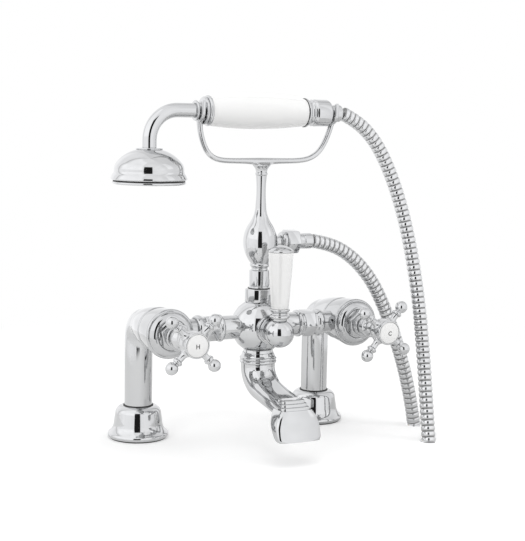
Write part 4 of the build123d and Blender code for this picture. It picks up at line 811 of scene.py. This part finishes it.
rings = [mouth_ring(*row) for row in MOUTH_ROWS]
rings.append(mouth_ring(*MOUTH_ROWS[-1], inset=2.0))
rings += [mouth_ring(*row, inset=2.4) for row in MOUTH_ROWS[5:9][::-1]]
loft(mesh, rings)
for step in range(3):
    front, width = 137.0 - STEP_IN * step, 26.0 - STEP_IN * step
    low = 46.0 + STEP_UP * step
    levels = ((low - 0.5, 0.0), (low + 1.6, 0.0), (low + 2.2, 0.3), (low + STEP_UP, 1.0))
    loft(mesh, [mouth_ring(z, front, 119.5, width, 0.9, inset) for z, inset in levels])
finish(mesh, "flared_spout", cast_chrome, "mixer", "spout", sharp=32.0)

# %% [markdown]
# ## Spout nut
# A round nut with two beads holds the spout under the centre body and lets it swivel while it is fitted.
# It hasn't a flat side, so one closed outline is all it needs.

# %% Spout nut
SPOUT_NUT = traced(
    (12.3, 73.0), (15.4, 73.0), ((16.4, 74.6), (15.5, 76.2)), ((16.4, 77.6), (15.2, 79.0)),
    (14.4, 81.0), (14.2, 82.6), (13.1, 82.6), (13.1, 76.0), (12.3, 76.0),
)
turned_piece("spout_union", small_chrome, "mixer", "spout_nut", upright(), SPOUT_NUT, closed=True)

# %% [markdown]
# ## Riser
# A hexagonal nut holds the riser, which starts as a plain collar, swells to a pear-shaped vase with the
# hose's outlet on its side, and thins to a stem with one small ring below the cradle. All but the outlet
# is one outline, because joints between shorter ones would break the long reflections. A thin black
# washer between the collar and the nut is painted shade: a dark part that stands for the shade in the gap
# there.

# %% Riser
mesh = bmesh.new()
hexagon(mesh, upright(), 22.0, 127.0, 139.4, rim=1.1, turn_by=14.0)
turn(mesh, upright(), traced((8.1, 127.0), (11.2, 127.0), (11.2, 128.0), (8.1, 128.0)), closed=True)
finish(mesh, "riser_union", small_chrome, "mixer", "riser_nut")
VASE = traced(
    (0, 137.0), (7.9, 137.0), (7.9, 139.6), (9.7, 139.6), (9.7, 140.5), ((8.9, 141.1), (9.1, 142.0)),
    (9.2, 154.7), ((8.9, 155.4), (8.4, 155.6)), ((7.2, 157.1), (8.2, 158.7)), ((8.8, 160.1), (8.0, 161.7)),
    ((12.6, 169.0), (15.0, 178.5)), ((13.8, 188.6), (9.6, 197.0)), ((6.1, 204.0), (4.7, 213.0)),
    ((4.1, 226.0), (4.7, 236.8)), (4.8, 238.4), ((5.5, 239.8), (4.9, 241.2)), ((5.8, 244.4), (7.8, 247.0)),
    (0, 247.0),
)
mesh = bmesh.new()
turn(mesh, upright(), VASE, soften=0.1, steps=96)
STUB = traced((0, 4.0), (6.2, 13.0), ((5.4, 14.6), (5.2, 16.4)), (5.2, 24.0), (0, 24.0))
turn(mesh, lengthwise(OUTLET_Z), STUB)
finish(mesh, "vase_riser", chrome, "mixer", "riser")
# A dark washer in the gap between collar and nut: painted shade.
WASHER = traced((8.1, 139.3), (10.1, 139.3), (10.1, 140.2), (8.1, 140.2))
turned_piece("riser_gap_shade", rubber, "mixer", None, upright(), WASHER, closed=True, soften=0.1)

# %% [markdown]
# ## Cradle
# The cradle is one bent bar that is thicker at its middle and ends in two forks. A curve with a round
# bevel gives the bar, and its mesh is widened a little from front to back. Below its middle, a foot
# spreads from the round stem into the bar. Each fork is a row of squared rings from the tip of one prong,
# under the shower, to the tip of the other.

# %% Cradle
BAR_POINTS = [
    (-59.4, 285.0), (-58.9, 277.5), (-56.8, 268.5), (-52.4, 258.4), (-44.5, 252.2), (-32.0, 251.1),
    (-20.0, 251.2), (-12.0, 251.0), (-6.0, 250.7), (0.0, 250.6), (6.0, 250.7), (12.0, 251.0), (20.0, 251.2),
    (34.0, 251.2), (46.5, 252.6), (56.5, 258.6), (62.8, 268.6), (66.6, 278.0), (68.6, 285.0),
]


def bar_mesh(name, points, radius, swell=0.42, swell_reach=12.0):
    """A bent bar, thicker at its middle."""
    line = bpy.data.curves.new(name, "CURVE")
    line.dimensions = "3D"
    line.resolution_u, line.bevel_depth, line.bevel_resolution = 10, radius, 8
    line.use_fill_caps = True
    spline = line.splines.new("NURBS")
    spline.points.add(len(points) - 1)
    for point, (x, z) in zip(spline.points, points):
        point.co = (x, 0, z, 1)
        point.radius = 1.0 + swell * math.exp(-((x / swell_reach) ** 2))
    spline.order_u, spline.use_endpoint_u = 4, True
    holder = bpy.data.objects.new(name, line)
    return bpy.data.meshes.new_from_object(holder)


mesh = bmesh.new()
mesh.from_mesh(bar_mesh("cradle_bar", BAR_POINTS, 2.4))
bmesh.ops.remove_doubles(mesh, verts=mesh.verts, dist=0.01)
bmesh.ops.scale(mesh, vec=(1.0, 1.26, 1.0), verts=mesh.verts)
bmesh.ops.translate(mesh, vec=(0, FORWARD_Y, 0), verts=mesh.verts)


def fork(mesh, x, radius=9.0, width=3.4, wall=2.6, rise=8.5):
    """A fork that is open upward, round the hand shower's axis: rings from one tip to the other."""
    prong = [(rise, 1.5), (rise - 0.3, 0.7), (rise - 1.1, 0.0), (0.0, 0.0)]
    stops = [(0, z, inset) for z, inset in prong] + [(angle, 0, 0) for angle in range(10, 180, 10)]
    stops += [(180, -z, inset) for z, inset in reversed(prong)]
    rings = []
    for angle, z, inset in stops:
        place = moved(x, FORWARD_Y, SHOWER_Z) @ turned_by(-angle, "X") @ moved(0, radius, z)
        rings.append(squared_ring(mesh, place, width - inset, wall - inset, 3.4, count=32))
    loft(mesh, rings)


fork(mesh, -59.4)
fork(mesh, 68.7)
SEAT = [(247.0, 15.6, 15.6), (247.7, 16.8, 14.4), (248.5, 21.0, 12.0)]
SEAT += [(249.4, 28.0, 9.4), (250.6, 36.0, 7.0)]
loft(mesh, [squared_ring(mesh, upright() @ moved(0, 0, z), w, d) for z, w, d in smooth_rows(SEAT, 3)])
finish(mesh, "cradle", chrome, "mixer", "cradle_yoke", sharp=45.0)

# %% [markdown]
# ## Hand shower
# The handle is a porcelain barrel between two turned ferrules, with a thin black washer at its rear end.
# The shower's neck bends down from the front ferrule to the rose. It is a tube of one radius, so its rows
# have only to follow the bend.

# %% Hand shower
along = lengthwise(SHOWER_Z)
HANDLE = traced(
    (6.3, -51.0), (12.7, -51.0), ((14.7, -30.0), (15.2, -8.0)), ((14.3, 17.0), (12.2, 40.0)), (6.3, 40.0),
)
turned_piece(
    "porcelain_handle", glaze, "handset", "handle",
    along, HANDLE, closed=True, soften=0.5, steps=96,
)
FRONT_FERRULE = traced(
    (6.2, -64.0), (7.4, -64.0), ((8.8, -63.1), (7.4, -62.2)), (7.4, -56.6), (10.9, -56.6),
    ((12.0, -55.2), (11.0, -53.8)), ((13.0, -52.6), (12.9, -51.0)), (6.2, -51.0),
)
turned_piece("front_collar", small_chrome, "handset", "front_ferrule", along, FRONT_FERRULE, closed=True)
REAR_FERRULE = traced(
    (6.2, 40.0), (12.2, 40.0), ((12.9, 41.3), (12.0, 42.6)), ((9.9, 44.6), (11.4, 46.9)),
    (11.8, 47.4), (11.3, 48.0), (10.3, 48.3), (11.2, 49.3), (11.9, 50.5), (11.9, 61.6),
    ((10.5, 64.5), (8.4, 65.5)), (7.4, 65.6), (7.4, 71.2), (6.2, 71.2),
)
turned_piece("rear_collar", small_chrome, "handset", "rear_ferrule", along, REAR_FERRULE, closed=True)
HANDLE_WASHER = traced((11.0, 39.7), (12.4, 39.7), (12.7, 40.1), (12.5, 40.7), (11.0, 40.7))
turned_piece("handle_washer", rubber, "handset", None, along, HANDLE_WASHER, closed=True, soften=0.0)
mesh = bmesh.new()
NECK_R, NECK_BEND = 6.1, 25.0
place = moved(ROSE_X + NECK_BEND, FORWARD_Y, SHOWER_Z) @ turned_by(-90, "Y") @ turned_by(-90, "Z")
bend_end = NECK_BEND * math.pi / 2
stops = [-28.3, *(bend_end * i / 16 for i in range(17)), bend_end + 8.4]
bent_tube(mesh, place, NECK_BEND, [(stop, NECK_R) for stop in stops])
finish(mesh, "shower_neck", chrome, "handset", "gooseneck")

# %% [markdown]
# ## Rose
# The rose is a bell with a wide flat rim, a dark gasket and a spray plate. The bell is turned as a thin
# wall with an inside, so that its rim has an edge from below too. The gasket and the plate stay the
# packed ones, because the plate has its rings of small holes already.

# %% Rose
rose = upright(ROSE_X)
COLLAR = traced((6.2, 260.2), (10.9, 260.2), ((11.4, 260.9), (10.6, 261.6)), (7.4, 262.4), (6.2, 262.4))
turned_piece("rose_ring", small_chrome, "handset", "rose_collar", rose, COLLAR, closed=True, soften=0.1)
BELL = traced(
    (4.6, 260.4), (11.2, 260.4), ((20.6, 256.0), (27.4, 249.6)), ((29.0, 246.6), (29.5, 243.4)),
    ((29.8, 241.2), (30.6, 239.9)), (31.0, 239.4), (32.25, 236.2), (32.1, 235.6), (31.5, 235.0),
    (27.4, 235.0), (27.4, 242.0), ((21.6, 250.6), (9.6, 256.5)), (4.6, 256.5),
)
turned_piece("rose_shell", chrome, "handset", "rose_bell", rose, BELL, closed=True, soften=0.15, steps=120)

# %% [markdown]
# ## Hose ends
# A hexagonal nut and a turned sleeve hold the hose on the riser, and a small cone nut holds it on the
# hand shower. The nut on the riser needs a hexagon, and the other two are one hollow outline each. The
# wound strip starts just clear of them.

# %% Hose ends
mesh = bmesh.new()
outlet = lengthwise(OUTLET_Z)
hexagon(mesh, outlet, 19.5, 24.0, 36.0, turn_by=6.0)
turn(mesh, outlet, traced((5.3, 20.0), (8.0, 20.0), ((9.0, 22.0), (8.4, 24.0)), (5.3, 24.0)), closed=True)
finish(mesh, "outlet_union", small_chrome, "mixer", "outlet_nut")
SLEEVE = traced(
    (3.4, 25.5), (6.9, 25.5), (6.9, 41.0), ((6.5, 41.7), (6.9, 42.4)), (6.9, 48.8),
    ((6.8, 49.8), (6.3, 50.4)), (3.4, 50.4),
)
turned_piece("hose_sleeve", small_chrome, "mixer", "hose_ferrule_lower", outlet, SLEEVE, closed=True)
CONE = traced((4.6, 71.2), (7.7, 71.2), (7.7, 74.4), ((7.5, 75.8), (6.9, 76.6)), (4.6, 76.6))
turned_piece("hose_cone_nut", small_chrome, "handset", "hose_nut_upper", along, CONE, closed=True)

# %% [markdown]
# ## Hose route
# The hose leaves the outlet sideways, hangs past the deck, turns in a wide loop below and climbs to the
# hand shower's end. Its line is one smooth spline whose control points are the model's own.

# %% Hose route
ROUTE = [
    (51.7, -60.0, 180.0), (68.4, -60.0, 177.0), (85.8, -60.0, 169.3), (102.3, -60.0, 156.4),
    (117.8, -60.0, 138.0), (131.9, -60.0, 111.5), (147.4, -59.0, 76.8), (161.0, -57.6, 37.2),
    (170.6, -56.4, -6.0), (178.8, -54.9, -54.3), (183.1, -53.4, -103.2), (184.7, -52.0, -152.4),
    (184.7, -51.0, -201.8), (184.4, -50.6, -251.0), (181.1, -58.1, -281.5), (172.2, -78.5, -303.8),
    (160.0, -106.5, -312.0), (147.8, -134.5, -303.8), (138.9, -154.9, -281.5), (135.6, -162.4, -251.0),
    (136.2, -159.6, -199.1), (138.0, -152.0, -147.5), (140.8, -140.8, -96.4), (144.4, -127.1, -45.9),
    (148.6, -112.0, 4.0), (152.4, -99.0, 46.0), (155.0, -87.2, 88.0), (155.0, -77.2, 128.6),
    (151.6, -69.0, 167.5), (144.6, -63.4, 203.9), (133.3, -60.8, 236.1), (120.2, -60.2, 260.8),
    (107.6, -60.0, 276.3), (93.3, -60.0, 287.3), (79.6, -60.0, 293.4),
]
line = bpy.data.curves.new("hose_line", "CURVE")
line.dimensions, line.resolution_u = "3D", 16
spline = line.splines.new("NURBS")
spline.points.add(len(ROUTE) - 1)
for point, (x, y, z) in zip(spline.points, ROUTE):
    point.co = (x / 1000, y / 1000, z / 1000, 1)
spline.order_u, spline.use_endpoint_u = 3, True
line_mesh = bpy.data.meshes.new_from_object(bpy.data.objects.new("hose_line", line))
hose_path = [v.co.copy() for v in line_mesh.vertices]
reach = [0.0]
for one, two in zip(hose_path, hose_path[1:]):
    reach.append(reach[-1] + (two - one).length)
print("hose length", round(reach[-1], 4), "points read", len(hose_path))

# %% [markdown]
# ## Hose ridges
# The wound strip is first turned as one long straight ridged bar. Each step of a ridge has its share of
# the pitch, its radius and how deep in the groove it lies, which the hose's material reads. Bump could
# give such ridges to a plain tube, but then its outline would stay smooth.

# %% Hose ridges
HOSE_R, GROOVE_R, END_R, RIDGE_PITCH = 6.48, 5.6, 5.75, 5.1
ridges = int(reach[-1] * 1000 / RIDGE_PITCH)
pitch = reach[-1] / ridges
ridge = [(0.0, GROOVE_R, 1.0), (0.08, 5.66, 1.0), (0.13, 6.1, 0.3), (0.2, 6.33, 0.0), (0.34, 6.45, 0.0)]
ridge += [(0.5, HOSE_R, 0.0), (0.66, 6.45, 0.0), (0.8, 6.33, 0.0), (0.87, 6.1, 0.3), (0.92, 5.66, 1.0)]
levels = []
for turn_count in range(ridges):
    levels += [((turn_count + share) * pitch, radius / 1000, groove) for share, radius, groove in ridge]
levels.append((reach[-1], END_R / 1000, 1.0))
mesh = bmesh.new()
groove_layer = mesh.verts.layers.float.new("groove")
verts = []
for height, radius, groove in levels:
    vert = mesh.verts.new((radius, 0, height))
    vert[groove_layer] = groove
    verts.append(vert)
edges = [mesh.edges.new(pair) for pair in zip(verts, verts[1:])]
bmesh.ops.spin(
    mesh, geom=verts + edges, cent=(0, 0, 0), axis=(0, 0, 1), angle=math.tau, steps=24, use_merge=True,
)
bmesh.ops.holes_fill(mesh, edges=[e for e in mesh.edges if e.is_boundary], sides=0)
print("hose ridges", ridges, "levels", len(levels))

# %% [markdown]
# ## Hose on its route
# Each point of the straight bar is carried onto the route: its height picks a place on the line, and its
# other two measures go across the line there. The frame is carried along without twisting. The hose
# joins the fixed mixer to the hand shower.

# %% Hose on its route
def along_path(distance):
    """The place and the direction at a distance along the hose."""
    at = min(max(bisect.bisect_left(reach, distance) - 1, 0), len(reach) - 2)
    one, two = hose_path[at], hose_path[at + 1]
    share = (distance - reach[at]) / (reach[at + 1] - reach[at])
    return one.lerp(two, share), (two - one).normalized()


by_level = {}
for vert in mesh.verts:
    by_level.setdefault(round(vert.co.z, 7), []).append(vert)
across = Vector((0, 1, 0))
for height in sorted(by_level):
    centre, ahead = along_path(height)
    across = (across - ahead * across.dot(ahead)).normalized()
    other = ahead.cross(across)
    for vert in by_level[height]:
        vert.co = centre + across * vert.co.x + other * vert.co.y
bmesh.ops.recalc_face_normals(mesh, faces=mesh.faces)
hose = object_of(mesh, "shower_hose", hose_chrome)
hose.data.shade_smooth()
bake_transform(hose)
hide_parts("hose")
print("hose faces", len(hose.data.polygons))

# %% [markdown]
# ## Camera
# The camera was fitted to the photograph with the known spacing of the legs: a short telephoto, a little
# to the left of the mixer and above it.

# %% Camera
camera = bpy.data.objects.new("camera", bpy.data.cameras.new("camera"))
bpy.context.collection.objects.link(camera)
camera.data.lens, camera.data.sensor_width, camera.data.sensor_fit = 82.92, 36.0, "AUTO"
look_along = turned_by(-26.32, "Z") @ turned_by(90 - 6.97, "X") @ turned_by(1.10, "Z")
camera.matrix_world = moved(-0.47995, -1.03606, 0.28802) @ look_along
bpy.context.scene.camera = camera
print("camera at", [round(v, 3) for v in camera.matrix_world.translation])

# %% [markdown]
# ## Floor
# The photograph has a plain white ground. The floor stands where the deck is, so it hides what passes
# down through it, and it has an opening round each strand of the hose. Further out it turns plain white
# for the camera, and is clear for other rays. A little light of its own makes it white without more
# light on the mixer, and it keeps the shadow. Reflections see that light too, less of it to the right.

# %% Floor
def is_ray(look, *kinds):
    """One for the named kinds of ray, and nought for the others."""
    found = [look.node("ShaderNodeLightPath", {}, {}, kind) for kind in kinds]
    return sum(found[1:], found[0])


FLOOR_R, HOLE_R = 2.4, 0.0085
HOSE_HOLES = ((0.1693, -0.0566), (0.1483, -0.1133))
FADE_START, FADE_END = 0.30, 0.62


def floor_look():
    look = Look("white_floor")
    cloud = look.noise(3.0, 3.0)
    look.end(Base_Color=look.mixed(cloud, (0.80, 0.80, 0.80, 1), (0.84, 0.84, 0.84, 1)), Roughness=0.9)
    look.end(Specular_IOR_Level=0.0, Emission_Strength=0.3)
    mirrored = is_ray(look, "Is Glossy Ray")
    aside = look.node("ShaderNodeSeparateXYZ", {}, {"Vector": look.spot()}, "X")
    seen = is_ray(look, "Is Camera Ray") + mirrored * look.ranged(aside, -0.12, 0.14, 1.0, 0.1)
    look.end(Emission_Color=look.mixed(seen, (0, 0, 0, 1), (1, 1, 1, 1)))
    away = look.node("ShaderNodeVectorMath", {"operation": "LENGTH"}, {0: look.spot()}, "Value")
    fade = look.ranged(away, FADE_START + mirrored * 0.14, FADE_END - mirrored * 0.12, 0.0, 1.0)
    clear = look.node("ShaderNodeBsdfTransparent", {}, {})
    plain = look.node("ShaderNodeEmission", {}, {"Color": (1, 1, 1, 1), "Strength": 1.0})
    beyond = look.node("ShaderNodeMixShader", {}, {0: is_ray(look, "Is Camera Ray"), 1: clear, 2: plain})
    solid = Value(look, look.shader.outputs[0])
    faded = look.node("ShaderNodeMixShader", {}, {0: fade, 1: solid, 2: beyond})
    look.plug(look.tree.nodes["Material Output"].inputs["Surface"], faded)
    return look.material


mesh = bmesh.new()
bmesh.ops.create_circle(mesh, radius=FLOOR_R, segments=96)
for x, y in HOSE_HOLES:
    bmesh.ops.create_circle(mesh, radius=HOLE_R, segments=48, matrix=moved(x, y, 0))
bmesh.ops.triangle_fill(mesh, use_beauty=True, edges=mesh.edges)
floor = object_of(mesh, "floor", floor_look())
floor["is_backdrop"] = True
print("floor faces", len(floor.data.polygons))

# %% [markdown]
# ## Lamps
# Three soft windows light the porcelain and give the floor its faint shadow. Reflections don't see the
# lamps, because the tent below has windows of its own for that.

# %% Lamps
def area_light(name, place, aim, size, power):
    lamp = bpy.data.lights.new(name, "AREA")
    lamp.shape, lamp.size, lamp.size_y, lamp.energy = "RECTANGLE", size[0], size[1], power
    holder = bpy.data.objects.new(name, lamp)
    bpy.context.collection.objects.link(holder)
    towards = (Vector(aim) - Vector(place)).to_track_quat("-Z", "Y").to_matrix().to_4x4()
    holder.matrix_world = moved(*place) @ towards
    holder.visible_glossy = False
    print(name, "watts", power)


area_light("left_window", (-1.25, -0.85, 0.85), (0, -0.05, 0.12), (0.6, 0.9), 4.4)
area_light("right_window", (1.15, -0.85, 0.75), (0, -0.05, 0.12), (0.5, 0.8), 3.2)
area_light("top_window", (0.0, -0.3, 1.5), (0, -0.05, 0.1), (1.0, 0.7), 4.0)

# %% [markdown]
# ## Light tent
# Polished metal shows its room. The photograph's metal shows a pale tent with a dark opening where the
# camera looks in, two thin dark seams, and brighter windows. The tent is seen by reflections only, and
# all this is painted on it by direction: 0 degrees is straight ahead of the taps, and directions grow to
# the right. The cloth is a little darker high up and at the right.

# %% Light tent
TENT_R = 2.6


def tent_look():
    look = Look("tent_cloth")
    spot = look.spot()
    x, y, z = (look.node("ShaderNodeSeparateXYZ", {}, {"Vector": spot}, axis) for axis in "XYZ")
    round_it = x.maths("ARCTAN2", x, y * -1.0) * math.degrees(1)
    up = z.maths("ARCSINE", z * (1 / TENT_R), 0.0) * math.degrees(1)

    def bar(value, centre, half, soft=1.5):
        """One within a band of directions, and nought outside."""
        off = value - centre
        return look.ranged(off.maths("ABSOLUTE", off, 0.0), half, half + soft, 1.0, 0.0)

    opening = bar(round_it, -26.0, 13.0) * bar(up, -2.0, 40.0, 3.0)
    seams = bar(round_it, -134.0, 2.5) * 0.3 + bar(round_it, 118.0, 3.0) * 0.6
    windows = bar(round_it, -84.0, 36.0, 5.0) * bar(up, 44.0, 30.0, 4.0)
    windows = windows + bar(round_it, 52.0, 10.0, 3.0) * bar(up, 40.0, 20.0, 3.0)
    cloth = look.ranged(look.noise(0.9, 2.0), 0.3, 0.7, 1.24, 1.42)
    higher = look.ranged(up, 25.0, 55.0, 1.0, 0.92)
    righter = look.ranged(round_it, 20.0, 60.0, 1.0, 0.86)
    light = cloth * higher * righter * (1 - opening * 0.985) * (1 - seams) + windows * 0.24
    colour = look.node("ShaderNodeCombineColor", {}, {0: light, 1: light, 2: light * 1.01})
    look.end(Base_Color=(0, 0, 0, 1), Specular_IOR_Level=0.0, Emission_Strength=1.0, Emission_Color=colour)
    return look.material


mesh = bmesh.new()
bmesh.ops.create_uvsphere(mesh, u_segments=64, v_segments=32, radius=TENT_R)
tent = object_of(mesh, "light_tent", tent_look())
tent.visible_camera = tent.visible_shadow = tent.visible_diffuse = tent.visible_transmission = False
tent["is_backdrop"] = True
print("tent radius", TENT_R)

# %% [markdown]
# ## White world
# The camera sees a plain white world, and so would a reflection that the tent didn't catch. As a light
# it is a little weaker, so that the porcelain keeps its shading and doesn't clip to white.

# %% White world
world = bpy.data.worlds.new("studio")
bpy.context.scene.world = world
world.use_nodes = True
room = Look("studio", world.node_tree)
soft = room.node("ShaderNodeBackground", {}, {"Color": (1, 1, 1, 1), "Strength": 0.75})
white = room.node("ShaderNodeBackground", {}, {"Color": (1, 1, 1, 1), "Strength": 1.0})
shown = is_ray(room, "Is Camera Ray", "Is Glossy Ray", "Is Transmission Ray")
both = room.node("ShaderNodeMixShader", {}, {0: shown, 1: soft, 2: white})
room.plug(room.tree.nodes["World Output"].inputs["Surface"], both)
bpy.context.scene.view_settings.view_transform = "Standard"
print("view", bpy.context.scene.view_settings.view_transform)

# %% [markdown]
# ## Close
# The finished model keeps to the imported model's box, within a tenth of a millimetre. The box at the
# end is printed.

# %% Close
low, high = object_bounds()
print("model box at the end", [round(v, 4) for v in (*low, *high)])
